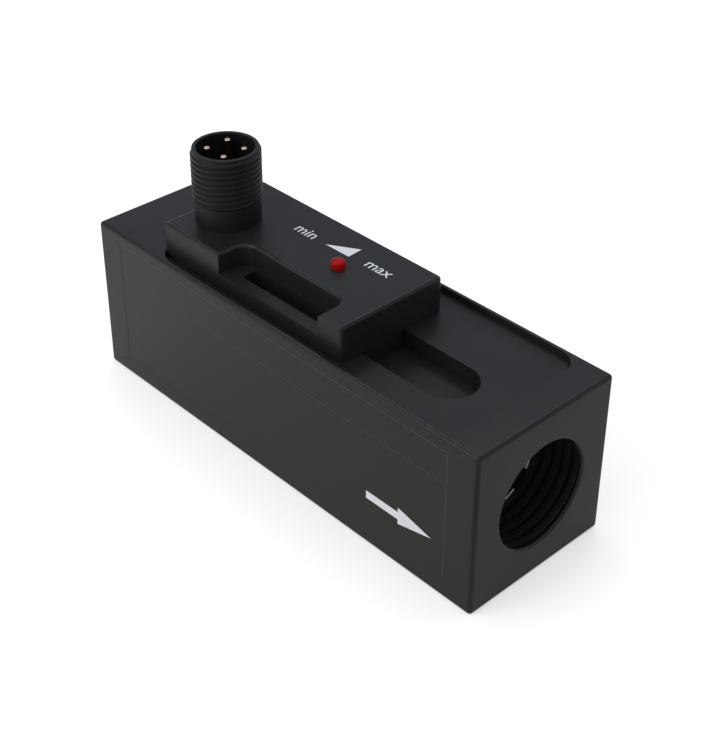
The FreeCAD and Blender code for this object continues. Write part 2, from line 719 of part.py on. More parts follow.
def make_base():
    """Base plate with the keel below it, snap barbs on the keel's sides and a trough for the reed."""
    body = new_body("head_base")
    plate = outline_inside(draw(body, "XY_Plane"), "(head_wall + base_fit)", f"({NOTCH_LEDGE} + base_fit)")
    pad(body, plate, "base_thickness")
    keel_near = f"{KEEL_LINE} - {KEEL_HALF}"
    keel_far = f"{KEEL_LINE} + {KEEL_HALF}"
    keel = rectangle(draw(body, "XY_Plane"), KEEL_START, "head_length", keel_near, keel_far)
    pad(body, keel, KEEL_DROP, reverse=True)
    foot = measure(f"-{KEEL_DROP}")
    round_edges(body, "keel_corner", lambda edge: upright(edge) and near(edge.BoundBox.ZMin, foot))
    trough_half = f"({KEEL_HALF} - keel_side)"
    trough = rectangle(
        draw(body, "XY_Plane", lift="base_thickness"),
        TROUGH_START,
        TROUGH_END,
        f"{KEEL_LINE} - {trough_half}",
        f"{KEEL_LINE} + {trough_half}",
    )
    cut(body, trough, f"base_thickness + {KEEL_DROP} - keel_floor")
    barb_top = "(-slide_clearance - slot_lip - barb_clearance)"
    for sign in ("+", "-"):
        flank = f"{KEEL_LINE} {sign} {KEEL_HALF}"
        root = f"{flank} {'-' if sign == '+' else '+'} keel_wall / 2"
        crest = f"{flank} {sign} barb_width"
        barb = polygon(
            draw(body, "YZ_Plane", lift=BARB_START),
            [
                (root, f"-{KEEL_DROP}"),
                (flank, f"-{KEEL_DROP}"),
                (crest, f"{barb_top} - barb_edge"),
                (crest, barb_top),
                (root, barb_top),
            ],
        )
        pad(body, barb, "barb_length")
    ribs = draw(body, "XY_Plane", lift="base_thickness")
    rectangle(ribs, "connector_station", f"{BOARD_RIGHT} - board_rib", f"{BOARD_FAR} - board_rib", BOARD_FAR)
    rectangle(ribs, "notch_start", "notch_start + board_rib_length", BOARD_NEAR, f"{BOARD_NEAR} + board_rib")
    pad(body, ribs, "board_lift")
    place_in_head(body)


def make_seal():
    """Flat sealing frame that bonds the base to the housing's ledge."""
    body = new_body("base_seal")
    frame = draw(body, "XY_Plane")
    outline_inside(frame, "(head_wall + base_fit)", f"({NOTCH_LEDGE} + base_fit)")
    outline_inside(frame, LEDGE, "notch_wall")
    pad(body, frame, "seal_thickness")
    place_in_head(body, height="base_thickness")


def make_board():
    """Circuit board, stepped round the notch, with square holes for the contact pins and the reed's leads."""
    body = new_body("circuit_board")
    step = "(notch_start - notch_wall - board_fit)"
    left = f"({LEDGE} + board_fit)"
    outline = polygon(
        draw(body, "XY_Plane"),
        [
            (left, f"-{BOARD_FAR}"),
            (step, f"-{BOARD_FAR}"),
            (step, BOARD_NEAR),
            (BOARD_RIGHT, BOARD_NEAR),
            (BOARD_RIGHT, BOARD_FAR),
            (left, BOARD_FAR),
        ],
    )
    pad(body, outline, "board_thickness")
    offset = f"(pin_circle * cos({PIN_TURN}))"
    pin_half = "(pin_radius + lead_play)"
    lead_half = "(lead_size / 2 + lead_play)"
    spots = []
    for sign in ("-", "+"):
        column = f"connector_station {sign} {offset}"
        spots.append((column, f"{CONNECTOR_LINE} - {offset}", pin_half))
        spots.append((column, f"{CONNECTOR_LINE} + {offset}", pin_half))
        spots.append((f"{REED_MIDDLE} {sign} {LEAD_SPAN}", KEEL_LINE, lead_half))
    holes = draw(body, "XY_Plane")
    for across, along, half in spots:
        rectangle(holes, f"{across} - {half}", f"{across} + {half}", f"{along} - {half}", f"{along} + {half}")
    cut(body, holes, "board_thickness", along_normal=True)
    place_in_head(body, height=BOARD_FOOT)


def make_reed():
    """Glass reed capsule in the keel's trough, and its two leads bent up through the board."""
    body = new_body("reed_switch")
    end = "reed_length / 2"
    capsule = circle(draw(body, "YZ_Plane", lift=f"-{end}"), "0", "0", "reed_radius")
    pad(body, capsule, "reed_length")
    place_in_head(body, REED_MIDDLE, KEEL_LINE, REED_LINE)
    leads = new_body("reed_leads")
    start = Vector(measure(end), 0, 0)
    path = leads.newObject("Sketcher::SketchObject", "lead_path")
    path.AttachmentSupport = [(origin_item(leads, "XZ_Plane"), "")]
    path.MapMode = "FlatFace"
    bend = measure("lead_bend")
    reach = measure(LEAD_SPAN)
    rise = measure(f"{BOARD_TOP} + lead_stub - {REED_LINE}")
    corner = Vector(reach - bend, bend, 0)
    run = path.addGeometry(Part.LineSegment(start, Vector(reach - bend, 0, 0)), False)
    arc = Part.ArcOfCircle(Part.Circle(corner, Vector(0, 0, 1), bend), -math.pi / 2, 0)
    turn = path.addGeometry(arc, False)
    climb = path.addGeometry(Part.LineSegment(Vector(reach, bend, 0), Vector(reach, rise, 0)), False)
    path.addConstraint(Sketcher.Constraint("Tangent", run, 2, turn, 1))
    path.addConstraint(Sketcher.Constraint("Tangent", turn, 2, climb, 1))
    path.addConstraint(Sketcher.Constraint("Vertical", climb))
    index = path.addConstraint(Sketcher.Constraint("Radius", turn, bend))
    path.setExpression(f"Constraints[{index}]", bind("lead_bend"))
    pin(path, run, 1, end, "0")
    pin(path, climb, 2, LEAD_SPAN, f"{BOARD_TOP} + lead_stub - {REED_LINE}")
    edge = "lead_size / 2"
    section = rectangle(draw(leads, "YZ_Plane", lift=end), f"-{edge}", edge, f"-{edge}", edge)
    lead = leads.newObject("PartDesign::AdditivePipe", "lead")
    lead.Profile = section
    lead.Spine = (path, ["Edge1", "Edge2", "Edge3"])
    doc.recompute()
    pair = leads.newObject("PartDesign::Mirrored", "lead_pair")
    pair.Originals = [lead]
    pair.MirrorPlane = (origin_item(leads, "YZ_Plane"), [""])
    leads.Tip = pair
    place_in_head(leads, REED_MIDDLE, KEEL_LINE, REED_LINE)


def make_lamp():
    """Round lamp: foot on the board, body through the roof."""
    body = new_body("indicator_lamp")
    foot = "lamp_radius + lamp_flange"
    height = f"head_height + lamp_height - {BOARD_TOP}"
    profile = [
        ("0", "0"),
        (foot, "0"),
        (foot, "lamp_foot"),
        ("lamp_radius", "lamp_foot"),
        ("lamp_radius", height),
        ("0", height),
    ]
    revolve(body, polygon(draw(body, "XZ_Plane"), profile), axis="V_Axis")
    place_in_head(body, "lamp_station", "(lamp_offset - head_offset)", BOARD_TOP)


def make_connector():
    """Threaded plug shell on a spigot, and its insulator with a coding key."""
    body = new_body("connector_shell")
    profile = [
        ("throat_radius", "-spigot_length"),
        ("spigot_radius", "-spigot_length"),
        ("spigot_radius", "0"),
        ("neck_radius", "0"),
        ("neck_radius", "neck_height"),
        ("thread_radius", "neck_height + thread_runout"),
        ("thread_radius", "shell_height - rim_bevel"),
        ("rim_radius", "shell_height"),
        ("socket_radius", "shell_height"),
        ("socket_radius", "socket_floor"),
        ("throat_radius", "socket_floor"),
    ]
    revolve(body, polygon(draw(body, "XZ_Plane"), profile), axis="V_Axis")
    place_in_head(body, "connector_station", CONNECTOR_LINE, "head_height")
    insert = new_body("connector_insert")
    outer = "socket_radius - insert_fit"
    disc = circle(draw(insert, "XY_Plane", lift="socket_floor"), "0", "0", outer)
    pad(insert, disc, f"{INSERT_TOP} - socket_floor")
    corner = f"sqrt(({outer}) * ({outer}) - key_width * key_width / 4)"
    key = draw(insert, "XY_Plane", lift=INSERT_TOP)
    rectangle(key, f"{outer} - key_depth", corner, "-key_width / 2", "key_width / 2")
    pad(insert, key, f"shell_height - key_drop - {INSERT_TOP}")
    hole = circle(
        draw(insert, "XY_Plane", lift=INSERT_TOP),
        f"pin_circle * cos({PIN_TURN} - key_turn_angle)",
        f"pin_circle * sin({PIN_TURN} - key_turn_angle)",
        "pin_radius + pin_fit",
    )
    spread(insert, cut(insert, hole, f"{INSERT_TOP} - socket_floor"), "Z_Axis", PIN_COUNT)
    insert.Placement = Placement(Vector(), Rotation(Vector(0, 0, 1), measure("key_turn_angle")))
    place_in_head(insert, "connector_station", CONNECTOR_LINE, "head_height")


def make_pins():
    """Four contact pins, through the insulator and the board."""
    body = new_body("contact_pins")
    tail = f"({BOARD_FOOT} - head_height - pin_stub)"
    offset = f"pin_circle * cos({PIN_TURN})"
    drawing = circle(draw(body, "XY_Plane", lift=tail), offset, offset, "pin_radius")
    spread(body, pad(body, drawing, f"shell_height - pin_drop - {tail}"), "Z_Axis", PIN_COUNT)
    place_in_head(body, "connector_station", CONNECTOR_LINE, "head_height")


make_block()
make_label()
make_orifice()
make_spring_seat()
make_retaining_ring()
make_piston()
make_rear_guide()
make_spring()
make_housing()
make_base()
make_seal()
make_board()
make_reed()
make_lamp()
make_connector()
make_pins()
doc.recompute()

for item in doc.Objects:
    if "Invalid" in item.State or "Error" in item.State:
        raise ValueError(f"{item.Label} did not build")
for item in parts:
    if item.Shape.isNull() or not item.Shape.isValid():
        raise ValueError(f"{item.Label} has no sound shape")

os.makedirs("parts", exist_ok=True)
for item in parts:
    item.Shape.exportStep(f"parts/{item.Label}.step")
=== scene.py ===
import math

import bmesh
import bpy
import numpy as np
from mathutils import Matrix, Vector


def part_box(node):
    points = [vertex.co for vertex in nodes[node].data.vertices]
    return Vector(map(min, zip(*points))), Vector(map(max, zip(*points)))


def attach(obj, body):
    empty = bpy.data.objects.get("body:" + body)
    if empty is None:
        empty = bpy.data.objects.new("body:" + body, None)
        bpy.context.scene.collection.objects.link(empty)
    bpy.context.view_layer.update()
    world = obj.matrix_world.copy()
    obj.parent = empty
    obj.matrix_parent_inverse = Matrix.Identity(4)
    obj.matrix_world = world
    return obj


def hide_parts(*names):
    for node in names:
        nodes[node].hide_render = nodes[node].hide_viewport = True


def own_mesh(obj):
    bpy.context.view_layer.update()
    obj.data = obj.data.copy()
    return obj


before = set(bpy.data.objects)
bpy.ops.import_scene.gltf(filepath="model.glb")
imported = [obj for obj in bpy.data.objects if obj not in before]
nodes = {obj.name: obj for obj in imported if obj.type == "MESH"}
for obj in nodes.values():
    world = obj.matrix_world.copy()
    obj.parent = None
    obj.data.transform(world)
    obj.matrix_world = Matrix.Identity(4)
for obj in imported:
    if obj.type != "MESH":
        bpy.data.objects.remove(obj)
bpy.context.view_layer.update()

# Body block: a bar of aluminium, milled square, bead blasted and anodised black. The flow bore runs through
# it with a tapped port at each end. The head's recess and slot are milled into the top, the slot undercut
# where the head covers it, and a shallow recess in the near side takes the label.
MM = 0.001
MERGE = 1e-6
ARC_POINTS = 25
EDGE_STEPS = 6
BLOCK_EDGE = 0.7
FLOW_AXIS = (0.0, 15.0)
PORT_RADIUS = 9.3
PORT_ROUND = 0.5
THREAD_PITCH = 1.814
THREAD_DEPTH = 1.16
CHAMBER_RADIUS = 8.6
WEB_RADIUS = 6.8
GROOVE_RADIUS = 9.85
GROOVE_INNER = 35.55
GROOVE_OUTER = 36.75
CHAMBER_OUTLET = 33.25
CHAMBER_INLET = -32.25
WEB_INLET = -34.75
TAP_INLET_END = -35.0
OUTLET_RUNOUT = (0.5, 0.2)
INLET_RUNOUT = (0.2, 0.8)
RECESS_FLOOR = 28.9
RECESS_ROUND = 0.06
SLOT_LIP = 26.45
SLOT_FLOOR = 25.8
SLOT_ROUND = 0.06
SLOT_STEP = 0.06
UNDERCUT_REACH = 0.6
UNDERCUT_ENDS = (-8.2, 13.8)
UNDERCUT_RUNOUT = 0.5
LABEL_FLOOR = -14.8
LABEL_ROUND = 0.03
LABEL_CORNER = 0.65
LABEL_GAP = 0.02
block_low, block_high = (np.array(corner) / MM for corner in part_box("body_block"))
outlet_x = block_high[0]
inlet_x = block_low[0]
top_z = block_high[2]
near_y = block_low[1]
recess = dict(half=(35.25, 14.0), radius=4.0, centre=(5.0, 0.0))
slot = dict(half=(24.0, 4.75), radius=4.75, centre=(9.65, -3.25))
label_low, label_high = (np.array(corner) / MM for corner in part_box("rating_label"))
label_recess = dict(half=(label_high - label_low)[[0, 2]] / 2 + LABEL_GAP, radius=LABEL_CORNER + LABEL_GAP,
                    centre=(label_high + label_low)[[0, 2]] / 2)


def rounded_loop(half, radius, centre, outset=0.0):
    """Rectangle with round corners, moved outwards by outset: four quarter circles about the corner centres,
    their radius grown by outset, joined by straight sides. With half and radius zero it is a circle."""
    turn = np.linspace(0, math.pi / 2, ARC_POINTS)
    quarter = np.arange(4)[:, None]
    angle = (quarter * math.pi / 2 + turn).ravel()
    side_a = np.repeat([1, -1, -1, 1], ARC_POINTS) * (half[0] - radius)
    side_b = np.repeat([1, 1, -1, -1], ARC_POINTS) * (half[1] - radius)
    reach = radius + outset
    across = centre[0] + side_a + reach * np.cos(angle)
    along = centre[1] + side_b + reach * np.sin(angle)
    return np.column_stack([across, along])


def skin(rows, closed=True):
    """Points and quads of a grid: each quad joins two neighbours in a row to the same two in the next."""
    rows = np.asarray(rows)
    count, columns = rows.shape[:2]
    step = np.arange(columns if closed else columns - 1)
    after = (step + 1) % columns
    first = np.arange(count - 1)[:, None] * columns
    corners = [first + step, first + after, first + columns + after, first + columns + step]
    return rows.reshape(-1, 3), np.stack(corners, axis=-1).reshape(-1, 4)


def swept(profile, axis, half=(0.0, 0.0), radius=0.0, centre=(0.0, 0.0)):
    """Profile carried round a rounded loop that lies across an axis. Each profile point is an outset from
    the loop and a level along the axis, so a loop without size gives a turned shape."""
    loops = [
        np.insert(rounded_loop(half, radius, centre, out), axis, level, axis=1)
        for out, level in profile
    ]
    return skin(loops)


def rolled(level, size, inwards):
    """Quarter circle of a profile, from flat at the given level to upright one size further inwards."""
    turn = np.linspace(0, math.pi / 2, EDGE_STEPS + 1)
    return np.column_stack([size * (1 - np.sin(turn)), level + inwards * size * (1 - np.cos(turn))])


def shifted(profile, out):
    """The profile with all its outsets moved by one amount."""
    return np.asarray(profile) + [out, 0]


def threaded(axis, centre, start, end, core, depth, pitch, phases, heights, runout):
    """Thread as a grid whose rows follow the helix. A row's phase gives the thread's height there, and a
    column's turn moves it along by its share of the pitch. Both ends are held level, and the height fades
    out there."""
    turns = math.ceil((end - start) / pitch) + 1
    phase = (np.arange(turns)[:, None] + np.asarray(phases)).ravel()
    angle = (np.arange(4)[:, None] * math.pi / 2 + np.linspace(0, math.pi / 2, ARC_POINTS)).ravel()
    level = start + (phase[:, None] - 1 + angle / (2 * math.pi)) * pitch
    level = np.clip(level, start, end)
    fade = np.clip((level - start) / runout[0], 0, 1) * np.clip((end - level) / runout[1], 0, 1)
    reach = core + depth * np.tile(heights, turns)[:, None] * fade
    across = np.stack([centre[0] + reach * np.cos(angle), centre[1] + reach * np.sin(angle)], axis=-1)
    rows = np.insert(across, axis, level, axis=-1)
    return skin(rows, closed=False)


def rounded_box(low, high, radius, open_sides):
    """Box with round edges as one grid of directions, each octant of the sphere moved to its corner. The
    quads between the octants are the edges and the sides, counted from the far side towards the inlet."""
    turn = np.linspace(0, math.pi / 2, EDGE_STEPS + 1)
    around = (np.arange(4)[:, None] * math.pi / 2 + turn).ravel()
    rise = np.concatenate([turn - math.pi / 2, turn])[:, None]
    level = np.cos(rise)
    directions = np.broadcast_arrays(level * np.cos(around), level * np.sin(around), np.sin(rise))
    per_octant = EDGE_STEPS + 1
    side_x = np.repeat([high[0] - radius, low[0] + radius, low[0] + radius, high[0] - radius], per_octant)
    side_y = np.repeat([high[1] - radius, high[1] - radius, low[1] + radius, low[1] + radius], per_octant)
    side_z = np.repeat([low[2] + radius, high[2] - radius], per_octant)[:, None]
    centres = np.broadcast_arrays(side_x, side_y, side_z)
    rows = np.stack(centres, axis=-1) + radius * np.stack(directions, axis=-1)
    points, faces = skin(rows)
    side = EDGE_STEPS * len(around) + np.arange(4) * per_octant + EDGE_STEPS
    return points, np.delete(faces, side[open_sides], axis=0)


def cap(loop):
    """One quad from the four corner centres of a loop that has shrunk onto them."""
    corners = loop[::ARC_POINTS]
    return corners, np.arange(4)[None, :]


def shown(name, mesh, crease):
    """Object of a mesh: smooth, sharp only over the crease angle, with flat faces kept flat beside round
    ones."""
    mesh.shade_smooth()
    mesh.set_sharp_from_angle(angle=math.radians(crease))
    piece = bpy.data.objects.new(name, mesh)
    bpy.context.scene.collection.objects.link(piece)
    even = piece.modifiers.new("even_normals", "WEIGHTED_NORMAL")
    even.keep_sharp = True
    return piece


def make_piece(name, patches, crease=38):
    """One closed mesh from patches in millimetres: doubles merged, so that seams and poles close, and faces
    turned outwards."""
    starts = np.cumsum([0] + [len(points) for points, _ in patches[:-1]])
    points = np.concatenate([points for points, _ in patches])
    faces = np.concatenate([faces + start for (_, faces), start in zip(patches, starts)])
    mesh = bpy.data.meshes.new(name)
    mesh.from_pydata((points * MM).tolist(), [], faces.tolist())
    shell = bmesh.new()
    shell.from_mesh(mesh)
    bmesh.ops.remove_doubles(shell, verts=shell.verts, dist=MERGE)
    bmesh.ops.recalc_face_normals(shell, faces=shell.faces)
    shell.to_mesh(mesh)
    shell.free()
    return shown(name, mesh, crease)


def flat_rectangle(axis, level, low_corner, high_corner):
    """The sharp outline of a flat side in the form of a loop, to be joined to an opening's loop."""
    half = (np.asarray(high_corner) - low_corner) / 2
    centre = (np.asarray(high_corner) + low_corner) / 2
    return np.insert(rounded_loop(half, 0.0, centre), axis, level, axis=1)


def opening_rim(loop, axis, level, outset):
    """An opening's loop at the level of the side that it is cut into."""
    return np.insert(rounded_loop(outset=outset, **loop), axis, level, axis=1)


inner_low = block_low + BLOCK_EDGE
inner_high = block_high - BLOCK_EDGE
bore = dict(half=(0.0, 0.0), radius=0.0, centre=FLOW_AXIS)
mouth = PORT_RADIUS + PORT_ROUND
bottom = opening_rim(dict(half=inner_high[:2], radius=0.0, centre=(0.0, 0.0)), 2, block_low[2], 0.0)
tap_phases = [0.0, 0.12, 0.24, 0.36, 0.48, 0.52, 0.56, 0.60, 0.64, 0.70, 0.76, 0.82, 0.86, 0.90, 0.94, 0.98]
flank_phases = [0.50, 0.53, 0.63, 0.66, 0.80, 0.83, 0.93, 0.96]
tap_heights = np.interp(tap_phases, flank_phases, [0, 0.04, 0.96, 1, 1, 0.96, 0.04, 0])
tap = dict(core=PORT_RADIUS, depth=THREAD_DEPTH, pitch=THREAD_PITCH, phases=tap_phases, heights=tap_heights)
bore_steps = [
    (PORT_RADIUS, GROOVE_OUTER), (GROOVE_RADIUS, GROOVE_OUTER), (GROOVE_RADIUS, GROOVE_INNER),
    (PORT_RADIUS, GROOVE_INNER), (PORT_RADIUS, CHAMBER_OUTLET), (CHAMBER_RADIUS, CHAMBER_OUTLET),
    (CHAMBER_RADIUS, CHAMBER_INLET), (WEB_RADIUS, CHAMBER_INLET), (WEB_RADIUS, WEB_INLET),
    (PORT_RADIUS, WEB_INLET), (PORT_RADIUS, TAP_INLET_END),
]


def undercut(side):
    """Straight side of the slot below its lip, as a grid along the flow: a fine step inwards at both ends
    and a deep step back between them. The rows give the lip's underside, the back and the floor there."""
    reach_x = slot["half"][0] - slot["radius"]
    start, end = UNDERCUT_ENDS
    left, right = slot["centre"][0] - reach_x, slot["centre"][0] + reach_x
    first = start - UNDERCUT_RUNOUT
    last = end + UNDERCUT_RUNOUT
    stations = np.array([left, first, start, start, end, end, last, right])
    step = np.array([-SLOT_STEP, -SLOT_STEP, 0, UNDERCUT_REACH, UNDERCUT_REACH, 0, -SLOT_STEP, -SLOT_STEP])
    outset = np.stack([0 * step, step, step, 0 * step - SLOT_STEP])
    level = np.repeat([SLOT_LIP, SLOT_LIP, SLOT_FLOOR, SLOT_FLOOR], len(stations)).reshape(outset.shape)
    wall = slot["centre"][1] + side * (slot["radius"] + outset)
    return skin(np.stack([np.broadcast_to(stations, outset.shape), wall, level], axis=-1), closed=False)


foot_profile = [(0, SLOT_LIP), (-SLOT_STEP, SLOT_LIP), (-SLOT_STEP, SLOT_FLOOR)]
slot_foot_points, slot_foot_faces = swept(foot_profile, 2, **slot)
slot_sides = [ARC_POINTS - 1, 3 * ARC_POINTS - 1, 5 * ARC_POINTS - 1, 7 * ARC_POINTS - 1]
slot_foot = (slot_foot_points, np.delete(slot_foot_faces, slot_sides, axis=0))
label_profile = [*rolled(near_y, LABEL_ROUND, 1), (0, LABEL_FLOOR), (-label_recess["radius"], LABEL_FLOOR)]
block_patches = [
    rounded_box(block_low, block_high, BLOCK_EDGE, [1, 2, 3]),
    cap(bottom),
    skin([flat_rectangle(2, top_z, inner_low[:2], inner_high[:2]),
          opening_rim(recess, 2, top_z, RECESS_ROUND)]),
    swept([*rolled(top_z, RECESS_ROUND, -1), (0, RECESS_FLOOR)], 2, **recess),
    skin([opening_rim(recess, 2, RECESS_FLOOR, 0.0), opening_rim(slot, 2, RECESS_FLOOR, SLOT_ROUND)]),
    swept([*rolled(RECESS_FLOOR, SLOT_ROUND, -1), (0, SLOT_LIP)], 2, **slot),
    slot_foot,
    undercut(1),
    undercut(-1),
    swept([(-SLOT_STEP, SLOT_FLOOR), (-slot["radius"], SLOT_FLOOR)], 2, **slot),
    skin([flat_rectangle(1, near_y, inner_low[[0, 2]], inner_high[[0, 2]]),
          opening_rim(label_recess, 1, near_y, LABEL_ROUND)]),
    swept(label_profile, 1, **label_recess),
    cap(opening_rim(label_recess, 1, LABEL_FLOOR, -label_recess["radius"])),
    skin([flat_rectangle(0, outlet_x, inner_low[1:], inner_high[1:]),
          opening_rim(bore, 0, outlet_x, mouth)]),
    swept(shifted(rolled(outlet_x, PORT_ROUND, -1), PORT_RADIUS), 0, **bore),
    threaded(0, FLOW_AXIS, GROOVE_OUTER, outlet_x - PORT_ROUND, runout=OUTLET_RUNOUT, **tap),
    swept(bore_steps, 0, **bore),
    threaded(0, FLOW_AXIS, inlet_x + PORT_ROUND, TAP_INLET_END, runout=INLET_RUNOUT, **tap),
    swept(shifted(rolled(inlet_x, PORT_ROUND, 1), PORT_RADIUS), 0, **bore),
    skin([flat_rectangle(0, inlet_x, inner_low[1:], inner_high[1:]),
          opening_rim(bore, 0, inlet_x, mouth)]),
]
block = make_piece("machined_block", block_patches)


def fine_grain_group():
    """Shader group for an even surface. A slow noise drifts colour and gloss between two ends, and a fine
    noise adds the grain, which also comes out as a height."""
    group = bpy.data.node_groups.new("fine_grain", "ShaderNodeTree")
    for name, kind in (
        ("Dark", "Color"), ("Light", "Color"), ("Drift Scale", "Float"), ("Grain Scale", "Float"),
        ("Gloss", "Float"), ("Matt", "Float"),
    ):
        group.interface.new_socket(name, in_out="INPUT", socket_type="NodeSocket" + kind)
    for name, kind in (("Color", "Color"), ("Roughness", "Float"), ("Height", "Float")):
        group.interface.new_socket(name, in_out="OUTPUT", socket_type="NodeSocket" + kind)
    given = group.nodes.new("NodeGroupInput")
    result = group.nodes.new("NodeGroupOutput")
    place = group.nodes.new("ShaderNodeTexCoord")
    drift = group.nodes.new("ShaderNodeTexNoise")
    drift.inputs["Detail"].default_value = 4
    grain = group.nodes.new("ShaderNodeTexNoise")
    grain.inputs["Detail"].default_value = 2
    spread = group.nodes.new("ShaderNodeMapRange")
    spread.inputs["From Min"].default_value = 0.3
    spread.inputs["From Max"].default_value = 0.7
    blend = group.nodes.new("ShaderNodeMix")
    blend.inputs["Factor"].default_value = 0.45
    tint = group.nodes.new("ShaderNodeMix")
    tint.data_type = "RGBA"
    gloss = group.nodes.new("ShaderNodeMix")
    for source, target in (
        (place.outputs["Object"], drift.inputs["Vector"]),
        (place.outputs["Object"], grain.inputs["Vector"]),
        (given.outputs["Drift Scale"], drift.inputs["Scale"]),
        (given.outputs["Grain Scale"], grain.inputs["Scale"]),
        (drift.outputs["Fac"], spread.inputs["Value"]),
        (spread.outputs["Result"], blend.inputs[2]),
        (grain.outputs["Fac"], blend.inputs[3]),
        (blend.outputs[0], tint.inputs["Factor"]),
        (given.outputs["Dark"], tint.inputs[6]),
        (given.outputs["Light"], tint.inputs[7]),
        (blend.outputs[0], gloss.inputs["Factor"]),
        (given.outputs["Gloss"], gloss.inputs[2]),
        (given.outputs["Matt"], gloss.inputs[3]),
        (tint.outputs[2], result.inputs["Color"]),
        (gloss.outputs[0], result.inputs["Roughness"]),
        (grain.outputs["Fac"], result.inputs["Height"]),
    ):
        group.links.new(source, target)
    return group


fine_grain = fine_grain_group()


def grained(name, dark, light, drift_scale, grain_scale, gloss, matt, height_mm, specular=0.5,
            metallic=0.0):
    """Material with the fine grain: its colour and gloss drift, and its height feeds a bump of that many
    millimetres."""
    material = bpy.data.materials.new(name)
    material.use_nodes = True
    tree = material.node_tree
    tree.nodes.clear()
    output = tree.nodes.new("ShaderNodeOutputMaterial")
    shader = tree.nodes.new("ShaderNodeBsdfPrincipled")
    grain = tree.nodes.new("ShaderNodeGroup")
    grain.node_tree = fine_grain
    bump = tree.nodes.new("ShaderNodeBump")
    grain.inputs["Dark"].default_value = (*dark, 1)
    grain.inputs["Light"].default_value = (*light, 1)
    grain.inputs["Drift Scale"].default_value = drift_scale
    grain.inputs["Grain Scale"].default_value = grain_scale
    grain.inputs["Gloss"].default_value = gloss
    grain.inputs["Matt"].default_value = matt
    bump.inputs["Distance"].default_value = height_mm * MM
    shader.inputs["Specular IOR Level"].default_value = specular
    shader.inputs["Metallic"].default_value = metallic
    tree.links.new(grain.outputs["Color"], shader.inputs["Base Color"])
    tree.links.new(grain.outputs["Roughness"], shader.inputs["Roughness"])
    tree.links.new(grain.outputs["Height"], bump.inputs["Height"])
    tree.links.new(bump.outputs["Normal"], shader.inputs["Normal"])
    tree.links.new(shader.outputs["BSDF"], output.inputs["Surface"])
    return material


def dressed(piece, material, body, node):
    """The piece with its material, riding on a body and in place of a CAD node."""
    piece.data.materials.clear()
    piece.data.materials.append(material)
    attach(piece, body)
    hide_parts(node)


anodised = grained(
    "black_anodised", dark=(0.0120, 0.0119, 0.0117), light=(0.0150, 0.0148, 0.0146), drift_scale=70,
    grain_scale=5200, gloss=0.28, matt=0.38, height_mm=0.003, specular=0.27,
)
dressed(block, anodised, "block", "body_block")

# Rating label: a black film, stuck into its shallow recess. Fine grey rules frame it, and a white arrow
# printed on it shows the flow's direction.
label_film = grained(
    "label_film", dark=(0.0122, 0.0120, 0.0118), light=(0.0148, 0.0146, 0.0143), drift_scale=45,
    grain_scale=2600, gloss=0.28, matt=0.38, height_mm=0.002, specular=0.27,
)
nodes["rating_label"].data.materials.clear()
nodes["rating_label"].data.materials.append(label_film)
INK = 0.02
RULE_WIDTH = 0.16
DIVIDER_Z = 21.9
ARROW_TAIL_X = 23.15
ARROW_BASE_X = 30.15
ARROW_TIP_X = 37.15
ARROW_Z = 9.9
ARROW_SHAFT = 0.72
ARROW_HEAD = 1.6


def rectangle_outline(low_corner, high_corner):
    """The four corners of an upright rectangle."""
    (left, foot), (right, head) = low_corner, high_corner
    return [(left, foot), (right, foot), (right, head), (left, head)]


def printed(name, curve, turn, place, ink, body):
    """Print as a thin mesh in one ink, riding on a body: the filled flat curve, extruded to the ink's
    thickness, turned and moved to the surface that carries it."""
    curve.extrude = INK * MM / 2
    carrier = bpy.data.objects.new(name + "_curve", curve)
    bpy.context.scene.collection.objects.link(carrier)
    bpy.context.view_layer.update()
    ready = carrier.evaluated_get(bpy.context.evaluated_depsgraph_get())
    mesh = bpy.data.meshes.new_from_object(ready)
    bpy.data.objects.remove(carrier)
    mesh.transform(Matrix.Translation([value * MM for value in place]) @ turn)
    mesh.name = name
    shell = bmesh.new()
    shell.from_mesh(mesh)
    bmesh.ops.remove_doubles(shell, verts=shell.verts, dist=MERGE)
    bmesh.ops.recalc_face_normals(shell, faces=shell.faces)
    shell.to_mesh(mesh)
    shell.free()
    mesh.materials.clear()
    mesh.materials.append(ink)
    piece = bpy.data.objects.new(name, mesh)
    bpy.context.scene.collection.objects.link(piece)
    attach(piece, body)


def flat_curve(name, outlines):
    """Filled flat curve whose closed outlines are straight between their points, given in millimetres."""
    curve = bpy.data.curves.new(name, "CURVE")
    curve.dimensions = "2D"
    curve.fill_mode = "BOTH"
    for outline in outlines:
        spline = curve.splines.new("POLY")
        spline.points.add(len(outline) - 1)
        flat = np.zeros((len(outline), 4))
        flat[:, :2] = np.asarray(outline) * MM
        spline.points.foreach_set("co", flat.ravel())
        spline.use_cyclic_u = True
    return curve


frame_low = label_low[[0, 2]]
frame_high = label_high[[0, 2]]
divider_low = (frame_low[0] + RULE_WIDTH, DIVIDER_Z - RULE_WIDTH / 2)
divider_high = (frame_high[0] - RULE_WIDTH, DIVIDER_Z + RULE_WIDTH / 2)
rule_outlines = [
    rectangle_outline(frame_low, frame_high),
    rectangle_outline(frame_low + RULE_WIDTH, (frame_high[0] - RULE_WIDTH, divider_low[1])),
    rectangle_outline((frame_low[0] + RULE_WIDTH, divider_high[1]), frame_high - RULE_WIDTH),
]
arrow_outline = [
    (ARROW_TAIL_X, ARROW_Z - ARROW_SHAFT), (ARROW_BASE_X, ARROW_Z - ARROW_SHAFT),
    (ARROW_BASE_X, ARROW_Z - ARROW_HEAD), (ARROW_TIP_X, ARROW_Z), (ARROW_BASE_X, ARROW_Z + ARROW_HEAD),
    (ARROW_BASE_X, ARROW_Z + ARROW_SHAFT), (ARROW_TAIL_X, ARROW_Z + ARROW_SHAFT),
]
upright = Matrix.Rotation(math.pi / 2, 4, "X")
